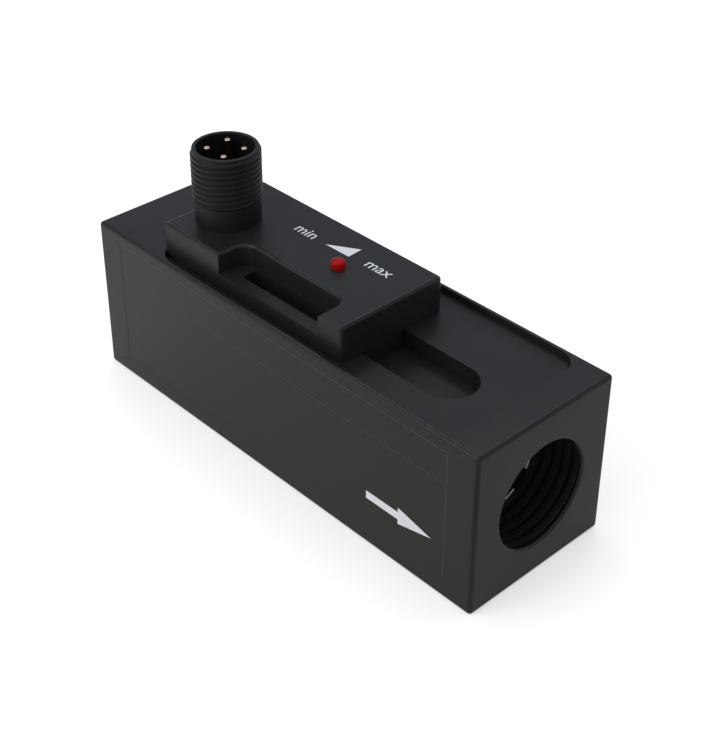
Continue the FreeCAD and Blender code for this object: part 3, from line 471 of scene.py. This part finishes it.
label_face = (0, label_low[1] - INK / 2, 0)
grey_ink = grained(
    "grey_ink", dark=(0.030, 0.029, 0.028), light=(0.036, 0.035, 0.034), drift_scale=300,
    grain_scale=6000, gloss=0.45, matt=0.55, height_mm=0.001,
)
white_ink = grained(
    "white_ink", dark=(0.74, 0.74, 0.76), light=(0.82, 0.82, 0.83), drift_scale=400, grain_scale=6000,
    gloss=0.45, matt=0.6, height_mm=0.002, specular=0.3,
)
printed("label_rules", flat_curve("label_rules", rule_outlines), upright, label_face, grey_ink, "block")
printed("flow_arrow", flat_curve("flow_arrow", [arrow_outline]), upright, label_face, white_ink, "block")

# Orifice ring and spring seat: turned brass. The ring is pressed against the inlet web and the piston closes
# it. The three-armed seat stands in the outlet port and carries the spring's end.


def turning_group():
    """Shader group for turned metal. A noise in which the way round the axis is not read gives even rings
    about the axis, and a slow noise stains them. The axis lies along X of the vector that comes in."""
    group = bpy.data.node_groups.new("turning_marks", "ShaderNodeTree")
    for name, kind in (
        ("Vector", "Vector"), ("Dark", "Color"), ("Light", "Color"), ("Mark Scale", "Float"),
        ("Gloss", "Float"), ("Matt", "Float"),
    ):
        group.interface.new_socket(name, in_out="INPUT", socket_type="NodeSocket" + kind)
    for name, kind in (("Color", "Color"), ("Roughness", "Float"), ("Height", "Float")):
        group.interface.new_socket(name, in_out="OUTPUT", socket_type="NodeSocket" + kind)
    given = group.nodes.new("NodeGroupInput")
    result = group.nodes.new("NodeGroupOutput")
    parts = group.nodes.new("ShaderNodeSeparateXYZ")
    flat = group.nodes.new("ShaderNodeCombineXYZ")
    length = group.nodes.new("ShaderNodeVectorMath")
    length.operation = "LENGTH"
    station = group.nodes.new("ShaderNodeCombineXYZ")
    marks = group.nodes.new("ShaderNodeTexNoise")
    marks.inputs["Detail"].default_value = 3
    stain = group.nodes.new("ShaderNodeTexNoise")
    stain.inputs["Scale"].default_value = 260
    blend = group.nodes.new("ShaderNodeMix")
    blend.inputs["Factor"].default_value = 0.5
    tint = group.nodes.new("ShaderNodeMix")
    tint.data_type = "RGBA"
    gloss = group.nodes.new("ShaderNodeMix")
    for source, target in (
        (given.outputs["Vector"], parts.inputs["Vector"]),
        (parts.outputs["Y"], flat.inputs["Y"]),
        (parts.outputs["Z"], flat.inputs["Z"]),
        (flat.outputs["Vector"], length.inputs[0]),
        (parts.outputs["X"], station.inputs["X"]),
        (length.outputs["Value"], station.inputs["Y"]),
        (station.outputs["Vector"], marks.inputs["Vector"]),
        (given.outputs["Mark Scale"], marks.inputs["Scale"]),
        (given.outputs["Vector"], stain.inputs["Vector"]),
        (marks.outputs["Fac"], blend.inputs[2]),
        (stain.outputs["Fac"], blend.inputs[3]),
        (blend.outputs[0], tint.inputs["Factor"]),
        (given.outputs["Dark"], tint.inputs[6]),
        (given.outputs["Light"], tint.inputs[7]),
        (blend.outputs[0], gloss.inputs["Factor"]),
        (given.outputs["Gloss"], gloss.inputs[2]),
        (given.outputs["Matt"], gloss.inputs[3]),
        (tint.outputs[2], result.inputs["Color"]),
        (gloss.outputs[0], result.inputs["Roughness"]),
        (marks.outputs["Fac"], result.inputs["Height"]),
    ):
        group.links.new(source, target)
    return group


turning_marks = turning_group()


def turned(name, dark, light, mark_scale, gloss, matt, height_mm, axis_point, upright_axis=False):
    """Bare metal with turning marks about an axis through the given point, along X or upright."""
    material = bpy.data.materials.new(name)
    material.use_nodes = True
    tree = material.node_tree
    tree.nodes.clear()
    output = tree.nodes.new("ShaderNodeOutputMaterial")
    shader = tree.nodes.new("ShaderNodeBsdfPrincipled")
    place = tree.nodes.new("ShaderNodeTexCoord")
    centred = tree.nodes.new("ShaderNodeMapping")
    centred.vector_type = "TEXTURE"
    centred.inputs["Location"].default_value = [value * MM for value in axis_point]
    centred.inputs["Rotation"].default_value = (0, -math.pi / 2 if upright_axis else 0, 0)
    marks = tree.nodes.new("ShaderNodeGroup")
    marks.node_tree = turning_marks
    bump = tree.nodes.new("ShaderNodeBump")
    marks.inputs["Dark"].default_value = (*dark, 1)
    marks.inputs["Light"].default_value = (*light, 1)
    marks.inputs["Mark Scale"].default_value = mark_scale
    marks.inputs["Gloss"].default_value = gloss
    marks.inputs["Matt"].default_value = matt
    bump.inputs["Distance"].default_value = height_mm * MM
    shader.inputs["Metallic"].default_value = 1.0
    tree.links.new(place.outputs["Object"], centred.inputs["Vector"])
    tree.links.new(centred.outputs["Vector"], marks.inputs["Vector"])
    tree.links.new(marks.outputs["Color"], shader.inputs["Base Color"])
    tree.links.new(marks.outputs["Roughness"], shader.inputs["Roughness"])
    tree.links.new(marks.outputs["Height"], bump.inputs["Height"])
    tree.links.new(bump.outputs["Normal"], shader.inputs["Normal"])
    tree.links.new(shader.outputs["BSDF"], output.inputs["Surface"])
    return material


def welded_copy(node, name, crease=30):
    """The CAD node's own shape as one connected mesh with whole flat sides and without its stored normals,
    so that its round faces are shaded round and its flat ones flat."""
    mesh = bpy.data.meshes.new(name)
    shell = bmesh.new()
    shell.from_mesh(nodes[node].data)
    bmesh.ops.remove_doubles(shell, verts=shell.verts, dist=MERGE)
    bmesh.ops.dissolve_limit(shell, angle_limit=math.radians(0.5), verts=shell.verts, edges=shell.edges)
    shell.to_mesh(mesh)
    shell.free()
    stored = mesh.attributes.get("custom_normal")
    if stored:
        mesh.attributes.remove(stored)
    return shown(name, mesh, crease)


flow_point = (0.0, *FLOW_AXIS)
brass = turned(
    "turned_brass", dark=(0.52, 0.36, 0.15), light=(0.68, 0.50, 0.24), mark_scale=4200, gloss=0.22,
    matt=0.36, height_mm=0.003, axis_point=flow_point,
)
dressed(welded_copy("orifice_ring", "turned_orifice"), brass, "block", "orifice_ring")
dressed(welded_copy("spring_seat", "three_arm_seat"), brass, "block", "spring_seat")

# Retaining ring: open snap ring, bent from square spring steel with slightly rounded corners. It springs
# into the groove of the outlet port and keeps the spring seat in place.
RING_CORNER = 0.16
RING_START = math.radians(-31)
RING_TURN = math.radians(334)
RING_STATIONS = 160
CORNER_STEPS = 4
RING_INNER = 8.3
ring_low, ring_high = (np.array(corner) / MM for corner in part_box("retaining_ring"))
ring_outer = (ring_high[1] - ring_low[1]) / 2


def section_loop(low_corner, high_corner, corner):
    """Outline of a bar's section: a rectangle with round corners, a few points to each quarter circle."""
    turn = np.linspace(0, math.pi / 2, CORNER_STEPS)
    angle = (np.arange(4)[:, None] * math.pi / 2 + turn).ravel()
    low_a, low_b = np.asarray(low_corner) + corner
    high_a, high_b = np.asarray(high_corner) - corner
    side_a = np.repeat([high_a, low_a, low_a, high_a], CORNER_STEPS)
    side_b = np.repeat([high_b, high_b, low_b, low_b], CORNER_STEPS)
    return np.column_stack([side_a + corner * np.cos(angle), side_b + corner * np.sin(angle)])


def bent_bar(section, angle):
    """Bar section carried round the flow axis: each section point is a radius and a station along the axis.
    The section shrinks onto its middle at both ends and closes them."""
    middle = np.broadcast_to(section.mean(axis=0), section.shape)
    whole = np.broadcast_to(section, (len(angle), *section.shape))
    sections = np.concatenate([middle[None], whole, middle[None]])
    angle = np.concatenate([angle[:1], angle, angle[-1:]])[:, None]
    radius = sections[:, :, 0]
    return skin(np.stack([
        sections[:, :, 1],
        FLOW_AXIS[0] + radius * np.cos(angle),
        FLOW_AXIS[1] + radius * np.sin(angle),
    ], axis=-1))


ring_section = section_loop((RING_INNER, ring_low[0]), (ring_outer, ring_high[0]), RING_CORNER)
ring_angle = RING_START + np.linspace(0, RING_TURN, RING_STATIONS)
spring_steel = turned(
    "spring_steel", dark=(0.50, 0.50, 0.51), light=(0.66, 0.66, 0.67), mark_scale=5200, gloss=0.18,
    matt=0.32, height_mm=0.002, axis_point=flow_point,
)
snap_ring = make_piece("snap_ring", [bent_bar(ring_section, ring_angle)])
dressed(snap_ring, spring_steel, "block", "retaining_ring")

# Piston spring: compression spring of round steel wire with closed ends, between the rear guide and the
# spring seat. It shortens as the flow pushes the piston towards the outlet.
SPRING_MEAN = 5.0
SPRING_WIRE = 0.4
SPRING_TURNS = 7
COIL_STATIONS = 48
WIRE_POINTS = 12
END_TURNS = 0.9
spring_low, spring_high = (np.array(corner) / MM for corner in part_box("piston_spring"))


def coil(low_x, high_x):
    """Round wire along a helix about the flow axis. The end turns lie wire to wire and the turns between are
    evenly spaced. The wire's circle stands across the path, and shrinks to a point at both ends."""
    turn = np.linspace(0, SPRING_TURNS, SPRING_TURNS * COIL_STATIONS + 1)
    first = low_x + SPRING_WIRE
    last = high_x - SPRING_WIRE
    rise = 2 * SPRING_WIRE * END_TURNS
    knots = [0, END_TURNS, SPRING_TURNS - END_TURNS, SPRING_TURNS]
    station = np.interp(turn, knots, [first, first + rise, last - rise, last])
    angle = 2 * math.pi * turn
    path = np.column_stack([station, SPRING_MEAN * np.cos(angle), SPRING_MEAN * np.sin(angle)])
    outward = np.column_stack([np.zeros_like(angle), np.cos(angle), np.sin(angle)])
    along = np.gradient(path, axis=0)
    along /= np.linalg.norm(along, axis=1)[:, None]
    across = np.cross(along, outward)
    round_angle = np.linspace(0, 2 * math.pi, WIRE_POINTS, endpoint=False)[None, :, None]
    ring = np.cos(round_angle) * outward[:, None] + np.sin(round_angle) * across[:, None]
    reach = np.full(len(turn), SPRING_WIRE)
    reach[[0, -1]] = 0
    rows = path[:, None] + reach[:, None, None] * ring + [0, *FLOW_AXIS]
    rows[0] = rows[1].mean(axis=0)
    rows[-1] = rows[-2].mean(axis=0)
    return skin(rows)


spring = make_piece("wound_spring", [coil(spring_low[0], spring_high[0])])
dressed(spring, spring_steel, "block", "piston_spring")
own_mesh(spring)

# Piston set: piston and rear guide are moulded in pale plastic and run on their fins. The sintered ring
# magnet sits between them on the stem, and an open steel clip locks the guide.
pale_plastic = grained(
    "pale_moulding", dark=(0.66, 0.64, 0.58), light=(0.76, 0.74, 0.69), drift_scale=120,
    grain_scale=3000, gloss=0.38, matt=0.5, height_mm=0.004,
)
ferrite = grained(
    "sintered_ferrite", dark=(0.035, 0.035, 0.038), light=(0.075, 0.074, 0.078), drift_scale=900,
    grain_scale=5200, gloss=0.5, matt=0.75, height_mm=0.012,
)
dressed(welded_copy("piston", "moulded_piston"), pale_plastic, "piston_set", "piston")
guide = welded_copy("rear_guide", "moulded_guide")
dressed(guide, pale_plastic, "piston_set", "rear_guide")
dressed(welded_copy("ring_magnet", "sintered_magnet"), ferrite, "piston_set", "ring_magnet")
dressed(welded_copy("stem_clip", "push_on_clip"), spring_steel, "piston_set", "stem_clip")

# Head base: moulded plate whose keel runs in the slot, with snap barbs under the slot's lips. The board, the
# reed and the leads lie between it and the housing, and a bonded frame seals the two.
base_plastic = grained(
    "base_moulding", dark=(0.0128, 0.0127, 0.0126), light=(0.0158, 0.0157, 0.0156), drift_scale=90,
    grain_scale=3400, gloss=0.30, matt=0.40, height_mm=0.003, specular=0.26,
)
seal_rubber = grained(
    "seal_rubber", dark=(0.012, 0.012, 0.012), light=(0.022, 0.022, 0.022), drift_scale=200,
    grain_scale=4200, gloss=0.7, matt=0.85, height_mm=0.008, specular=0.3,
)
board_lacquer = grained(
    "board_lacquer", dark=(0.015, 0.10, 0.035), light=(0.03, 0.17, 0.06), drift_scale=420,
    grain_scale=2600, gloss=0.25, matt=0.4, height_mm=0.01,
)
lead_tin = grained(
    "tinned_lead", dark=(0.5, 0.49, 0.47), light=(0.66, 0.65, 0.62), drift_scale=800, grain_scale=5000,
    gloss=0.2, matt=0.38, height_mm=0.003, specular=0.5, metallic=1.0,
)
dressed(welded_copy("head_base", "keel_plate"), base_plastic, "head", "head_base")
for node, material in (
    ("base_seal", seal_rubber), ("circuit_board", board_lacquer), ("reed_leads", lead_tin),
):
    nodes[node].data.materials.clear()
    nodes[node].data.materials.append(material)
reed_glass = grained(
    "reed_glass", dark=(0.70, 0.82, 0.76), light=(0.78, 0.88, 0.83), drift_scale=300, grain_scale=2000,
    gloss=0.03, matt=0.09, height_mm=0.001,
)
glass_shader = next(node for node in reed_glass.node_tree.nodes if node.type == "BSDF_PRINCIPLED")
glass_shader.inputs["Transmission Weight"].default_value = 0.9
nodes["reed_switch"].data.materials.clear()
nodes["reed_switch"].data.materials.append(reed_glass)

# Head housing: black moulding with a fine eroded texture and rounded edges. A finger notch on the near side
# pushes it along the slot, and its foot slides on the recess floor.
head_plastic = grained(
    "head_moulding", dark=(0.0128, 0.0127, 0.0126), light=(0.0158, 0.0157, 0.0156), drift_scale=80,
    grain_scale=4200, gloss=0.28, matt=0.38, height_mm=0.003, specular=0.26,
)
housing = welded_copy("head_housing", "moulded_housing")
dressed(housing, head_plastic, "head", "head_housing")

# Setting marks: a wedge that grows towards the higher setting, with a word at each end, printed in white on
# the housing's top.
WEDGE = [(-5.41, 2.82), (-0.14, 5.97), (0.04, 2.88)]
WORD_SIZE = 3.3
WORDS = (("min", (-10.55, 3.2)), ("max", (6.25, 3.8)))
head_low, head_high = (np.array(corner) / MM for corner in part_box("head_housing"))
mark_level = head_high[2] + INK / 2


def word_curve(word):
    """One word as a filled flat curve, centred on its own middle."""
    curve = bpy.data.curves.new(word, "FONT")
    curve.body = word
    curve.size = WORD_SIZE * MM
    curve.align_x = "CENTER"
    curve.align_y = "CENTER"
    return curve


level_turn = Matrix.Identity(4)
wedge_curve = flat_curve("setting_wedge", [WEDGE])
printed("setting_wedge", wedge_curve, level_turn, (0, 0, mark_level), white_ink, "head")
for word, (word_x, word_y) in WORDS:
    word_place = (word_x, word_y, mark_level)
    printed("setting_" + word, word_curve(word), level_turn, word_place, white_ink, "head")

# Indicator lamp: round body of clear red plastic with a softened top edge. It stands on the board with a
# wider foot and comes out through the housing's roof.
LAMP_EDGE = 0.5
LAMP_RADIUS = 1.2
LAMP_FOOT_HEIGHT = 0.8
lamp_low, lamp_high = (np.array(corner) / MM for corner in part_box("indicator_lamp"))
lamp_centre = (lamp_low[:2] + lamp_high[:2]) / 2
lamp_foot = (lamp_high[0] - lamp_low[0]) / 2
foot_top = lamp_low[2] + LAMP_FOOT_HEIGHT
lamp_edge = shifted(rolled(lamp_high[2], LAMP_EDGE, -1) * [-1, 1], LAMP_RADIUS)
lamp_profile = [(0, lamp_low[2]), (lamp_foot, lamp_low[2]), (lamp_foot, foot_top), (LAMP_RADIUS, foot_top),
                *lamp_edge[::-1], (0, lamp_high[2])]
lamp = make_piece("red_lamp", [swept(lamp_profile, 2, centre=lamp_centre)])
red_plastic = grained(
    "clear_red", dark=(0.34, 0.0035, 0.0035), light=(0.46, 0.006, 0.006), drift_scale=900,
    grain_scale=5000, gloss=0.22, matt=0.34, height_mm=0.003, specular=0.1,
)
dressed(lamp, red_plastic, "head", "indicator_lamp")

# Plug connector: moulded shell with a 12 mm thread on a spigot in the housing's roof, an insulator with a
# coding key pressed into it, and four round-tipped contacts that run down into the board.
PLUG_PITCH = 1.0
PLUG_ROOT = 5.62
PLUG_CREST = 6.0
PLUG_RUNOUT = (0.35, 0.3)
CREST_LIFT = 0.62
CREST_SWING = 0.85
RIM_ROUND = 0.12
RIM_HEIGHT = 0.35
RIM_RADIUS = 5.7
NECK_RADIUS = 5.7
NECK_HEIGHT = 4.1
NECK_STEP = 0.05
SPIGOT_RADIUS = 4.5
THROAT_RADIUS = 3.7
SOCKET_RADIUS = 5.0
SOCKET_RISE = 1.0
plug_low, plug_high = (np.array(corner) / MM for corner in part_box("connector_shell"))
plug_centre = (plug_low[:2] + plug_high[:2]) / 2
head_top = head_high[2]
neck_top = head_top + NECK_HEIGHT
socket_floor = head_top + SOCKET_RISE
thread_end = plug_high[2] - RIM_HEIGHT
plug_phases = np.linspace(0, 1, 14, endpoint=False)
plug_heights = np.clip(CREST_LIFT - CREST_SWING * np.cos(2 * math.pi * plug_phases), 0, 1)
rim_edge = shifted(rolled(plug_high[2], RIM_ROUND, -1) * [-1, 1], RIM_RADIUS)
rim_inside = shifted(rolled(plug_high[2], RIM_ROUND, -1), SOCKET_RADIUS)
plug_below = [(SPIGOT_RADIUS, plug_low[2]), (SPIGOT_RADIUS, head_top), (NECK_RADIUS, head_top),
              (NECK_RADIUS, neck_top - NECK_STEP), (PLUG_ROOT, neck_top)]
plug_above = [(PLUG_ROOT, thread_end), *rim_edge[::-1], *rim_inside, (SOCKET_RADIUS, socket_floor),
              (THROAT_RADIUS, socket_floor), (THROAT_RADIUS, plug_low[2]), (SPIGOT_RADIUS, plug_low[2])]
plug_thread = threaded(2, plug_centre, neck_top, thread_end, PLUG_ROOT, PLUG_CREST - PLUG_ROOT,
                       PLUG_PITCH, plug_phases, plug_heights, PLUG_RUNOUT)
plug = make_piece("threaded_plug", [
    swept(plug_below, 2, centre=plug_centre), plug_thread, swept(plug_above, 2, centre=plug_centre),
])
plug_plastic = grained(
    "plug_moulding", dark=(0.0092, 0.0092, 0.0094), light=(0.0118, 0.0118, 0.0120), drift_scale=150,
    grain_scale=4200, gloss=0.34, matt=0.46, height_mm=0.002, specular=0.20,
)
dressed(plug, plug_plastic, "head", "connector_shell")
insulator = welded_copy("connector_insert", "keyed_insulator")
dressed(insulator, plug_plastic, "head", "connector_insert")
PIN_RADIUS = 0.5
PIN_ROUND = 0.16
PIN_CIRCLE = 3.12
pin_low, pin_high = (np.array(corner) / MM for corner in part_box("contact_pins"))
pin_tip = shifted(rolled(pin_high[2], PIN_ROUND, -1) * [-1, 1], PIN_RADIUS)
pin_profile = [(0, pin_low[2]), (PIN_RADIUS, pin_low[2]), *pin_tip[::-1], (0, pin_high[2])]
pin_angles = np.radians([45, 135, 225, 315])
pin_places = plug_centre + PIN_CIRCLE * np.column_stack([np.cos(pin_angles), np.sin(pin_angles)])
pins = make_piece("round_tip_pins", [swept(pin_profile, 2, centre=place) for place in pin_places])
contact_gold = turned(
    "plated_contact", dark=(0.80, 0.54, 0.41), light=(0.92, 0.70, 0.57), mark_scale=6000, gloss=0.12,
    matt=0.22, height_mm=0.001, axis_point=(*plug_centre, 0), upright_axis=True,
)
dressed(pins, contact_gold, "head", "contact_pins")

# Floor, studio light and camera: a white sweep that keeps a weak shadow, a bright ceiling over a dim cool
# backdrop, which the top faces mirror, a soft box on the near side and a strip behind for the top edges. In
# reflections only, the floor carries painted reflection: warm and bright towards the inlet end, dimmer
# towards the outlet, and a painted dark patch off the near outlet corner.
FLOOR_HALF = 3.0
CAMERA_WHITE = 0.42
MIRROR_WHITE = 0.5
# Painted reflection: the floor, seen in reflections only, is warm and bright towards the inlet end and dims
# towards the outlet. This paints a gradient on the block's upright faces, with the near face lighter towards
# the inlet and the end face dimmer.
PAINTED_REFLECTION_SPAN = (-0.062, 0.070)
PAINTED_REFLECTION_STOPS = [
    (0.0, (0.96, 0.925, 0.85)),
    (0.38, (0.60, 0.565, 0.49)),
    (0.72, (0.60, 0.565, 0.49)),
    (1.0, (0.42, 0.39, 0.33)),
]
# Painted reflection: a dark patch in the floor, seen in reflections only, in front of the block's near
# outlet corner. It paints a dark line on the block's near outlet upright edge.
PAINTED_DARK_X = (0.042, 0.058)
PAINTED_DARK_Y = (-0.014, -0.030)
PAINTED_DARK_COLOUR = (0.04, 0.04, 0.04)
SKY_STOPS = [(0.30, (0.60, 0.64, 0.72)), (0.60, (0.070, 0.093, 0.165)), (0.80, (0.90, 0.96, 1.0))]
CAMERA_PLACE = (0.15189, -0.13906, 0.16113)
CAMERA_TURN = 47.301
CAMERA_FALL = 31.884
CAMERA_ROLL = -0.1616


def set_stops(ramp, stops):
    """Colour ramp with the given stops, each a position and a colour, from the first to the last."""
    elements = ramp.color_ramp.elements
    for position, _ in stops[1:-1]:
        elements.new(position)
    for element, (position, tint) in zip(elements, stops):
        element.position = position
        element.color = (*tint, 1)


floor_mesh = bpy.data.meshes.new("floor")
floor_corners = rectangle_outline((-FLOOR_HALF, -FLOOR_HALF), (FLOOR_HALF, FLOOR_HALF))
floor_points = np.insert(floor_corners, 2, 0, axis=1)
floor_mesh.from_pydata(floor_points.tolist(), [], [(0, 1, 2, 3)])
floor = bpy.data.objects.new("floor", floor_mesh)
bpy.context.scene.collection.objects.link(floor)
paper = grained(
    "floor_paper", dark=(0.92, 0.88, 0.845), light=(0.95, 0.91, 0.875), drift_scale=2, grain_scale=900,
    gloss=0.8, matt=0.9, height_mm=0.0, specular=0.1,
)
paper_nodes = paper.node_tree.nodes
paper_shader = next(node for node in paper_nodes if node.type == "BSDF_PRINCIPLED")
paper_output = next(node for node in paper_nodes if node.type == "OUTPUT_MATERIAL")
ray_kind = paper_nodes.new("ShaderNodeLightPath")
mirror_ray = paper_nodes.new("ShaderNodeMath")
mirror_ray.operation = "MAXIMUM"
mirror_share = paper_nodes.new("ShaderNodeMath")
mirror_share.operation = "MULTIPLY"
mirror_share.inputs[1].default_value = MIRROR_WHITE
camera_share = paper_nodes.new("ShaderNodeMath")
camera_share.operation = "MULTIPLY"
camera_share.inputs[1].default_value = CAMERA_WHITE
paper_place = paper_nodes.new("ShaderNodeTexCoord")
paper_parts = paper_nodes.new("ShaderNodeSeparateXYZ")
# Painted reflection: ramp along the floor's X that colours what the block's upright faces mirror.
painted_reflection_fade = paper_nodes.new("ShaderNodeMapRange")
painted_reflection_fade.inputs["From Min"].default_value = PAINTED_REFLECTION_SPAN[0]
painted_reflection_fade.inputs["From Max"].default_value = PAINTED_REFLECTION_SPAN[1]
painted_reflection_ramp = paper_nodes.new("ShaderNodeValToRGB")
set_stops(painted_reflection_ramp, PAINTED_REFLECTION_STOPS)
# Painted reflection: mask of the dark patch in front of the near outlet corner, mixed into the reflected
# floor colour.
painted_dark_x = paper_nodes.new("ShaderNodeMapRange")
painted_dark_x.inputs["From Min"].default_value = PAINTED_DARK_X[0]
painted_dark_x.inputs["From Max"].default_value = PAINTED_DARK_X[1]
painted_dark_y = paper_nodes.new("ShaderNodeMapRange")
painted_dark_y.inputs["From Min"].default_value = PAINTED_DARK_Y[0]
painted_dark_y.inputs["From Max"].default_value = PAINTED_DARK_Y[1]
painted_dark_mask = paper_nodes.new("ShaderNodeMath")
painted_dark_mask.operation = "MULTIPLY"
painted_reflection_tint = paper_nodes.new("ShaderNodeMix")
painted_reflection_tint.data_type = "RGBA"
painted_reflection_tint.inputs[7].default_value = (*PAINTED_DARK_COLOUR, 1)
mirror_glow = paper_nodes.new("ShaderNodeEmission")
camera_glow = paper_nodes.new("ShaderNodeEmission")
paper_mix = paper_nodes.new("ShaderNodeMixShader")
paper_sum = paper_nodes.new("ShaderNodeAddShader")
for source, target in (
    (ray_kind.outputs["Is Glossy Ray"], mirror_ray.inputs[0]),
    (ray_kind.outputs["Is Transmission Ray"], mirror_ray.inputs[1]),
    (mirror_ray.outputs[0], mirror_share.inputs[0]),
    (ray_kind.outputs["Is Camera Ray"], camera_share.inputs[0]),
    (paper_place.outputs["Object"], paper_parts.inputs["Vector"]),
    (paper_parts.outputs["X"], painted_reflection_fade.inputs["Value"]),
    (painted_reflection_fade.outputs["Result"], painted_reflection_ramp.inputs["Fac"]),
    (painted_reflection_ramp.outputs["Color"], painted_reflection_tint.inputs[6]),
    (paper_parts.outputs["X"], painted_dark_x.inputs["Value"]),
    (paper_parts.outputs["Y"], painted_dark_y.inputs["Value"]),
    (painted_dark_x.outputs["Result"], painted_dark_mask.inputs[0]),
    (painted_dark_y.outputs["Result"], painted_dark_mask.inputs[1]),
    (painted_dark_mask.outputs[0], painted_reflection_tint.inputs["Factor"]),
    (painted_reflection_tint.outputs[2], mirror_glow.inputs["Color"]),
    (camera_share.outputs[0], camera_glow.inputs["Strength"]),
    (mirror_share.outputs[0], paper_mix.inputs[0]),
    (paper_shader.outputs["BSDF"], paper_mix.inputs[1]),
    (mirror_glow.outputs["Emission"], paper_mix.inputs[2]),
    (paper_mix.outputs["Shader"], paper_sum.inputs[0]),
    (camera_glow.outputs["Emission"], paper_sum.inputs[1]),
    (paper_sum.outputs["Shader"], paper_output.inputs["Surface"]),
):
    paper.node_tree.links.new(source, target)
floor_mesh.materials.append(paper)

world = bpy.data.worlds.new("studio")
bpy.context.scene.world = world
world.use_nodes = True
sky = world.node_tree
sky.nodes.clear()
sky_out = sky.nodes.new("ShaderNodeOutputWorld")
sky_light = sky.nodes.new("ShaderNodeBackground")
sky_place = sky.nodes.new("ShaderNodeTexCoord")
sky_parts = sky.nodes.new("ShaderNodeSeparateXYZ")
sky_ramp = sky.nodes.new("ShaderNodeValToRGB")
set_stops(sky_ramp, SKY_STOPS)
sky.links.new(sky_place.outputs["Generated"], sky_parts.inputs["Vector"])
sky.links.new(sky_parts.outputs["Z"], sky_ramp.inputs["Fac"])
sky.links.new(sky_ramp.outputs["Color"], sky_light.inputs["Color"])
sky.links.new(sky_light.outputs["Background"], sky_out.inputs["Surface"])


def area_lamp(name, place, width, height, power):
    """Rectangular lamp that faces the object, its width level."""
    light = bpy.data.lights.new(name, "AREA")
    light.shape = "RECTANGLE"
    light.size = width
    light.size_y = height
    light.energy = power
    lamp_object = bpy.data.objects.new(name, light)
    lamp_object.location = place
    lamp_object.rotation_euler = Vector(place).to_track_quat("Z", "Y").to_euler()
    bpy.context.scene.collection.objects.link(lamp_object)


area_lamp("soft_box", place=(-0.20, -0.62, 0.40), width=0.6, height=0.6, power=1.9)
area_lamp("rim_strip", place=(-0.45, 0.45, 0.80), width=0.9, height=0.12, power=0.9)

view = bpy.data.cameras.new("photo_view")
view.sensor_width = 36.0
view.lens = 71.44
view.shift_x = 0.01949
view.shift_y = -0.13257
view.clip_start = 0.01
camera = bpy.data.objects.new("photo_view", view)
camera_place = Matrix.Translation(CAMERA_PLACE)
camera_turn = Matrix.Rotation(math.radians(CAMERA_TURN), 4, "Z")
camera_tilt = Matrix.Rotation(math.radians(90 - CAMERA_FALL), 4, "X")
camera_roll = Matrix.Rotation(math.radians(CAMERA_ROLL), 4, "Z")
camera.matrix_world = camera_place @ camera_turn @ camera_tilt @ camera_roll
bpy.context.scene.collection.objects.link(camera)
bpy.context.scene.camera = camera
bpy.context.scene.view_settings.view_transform = "Standard"
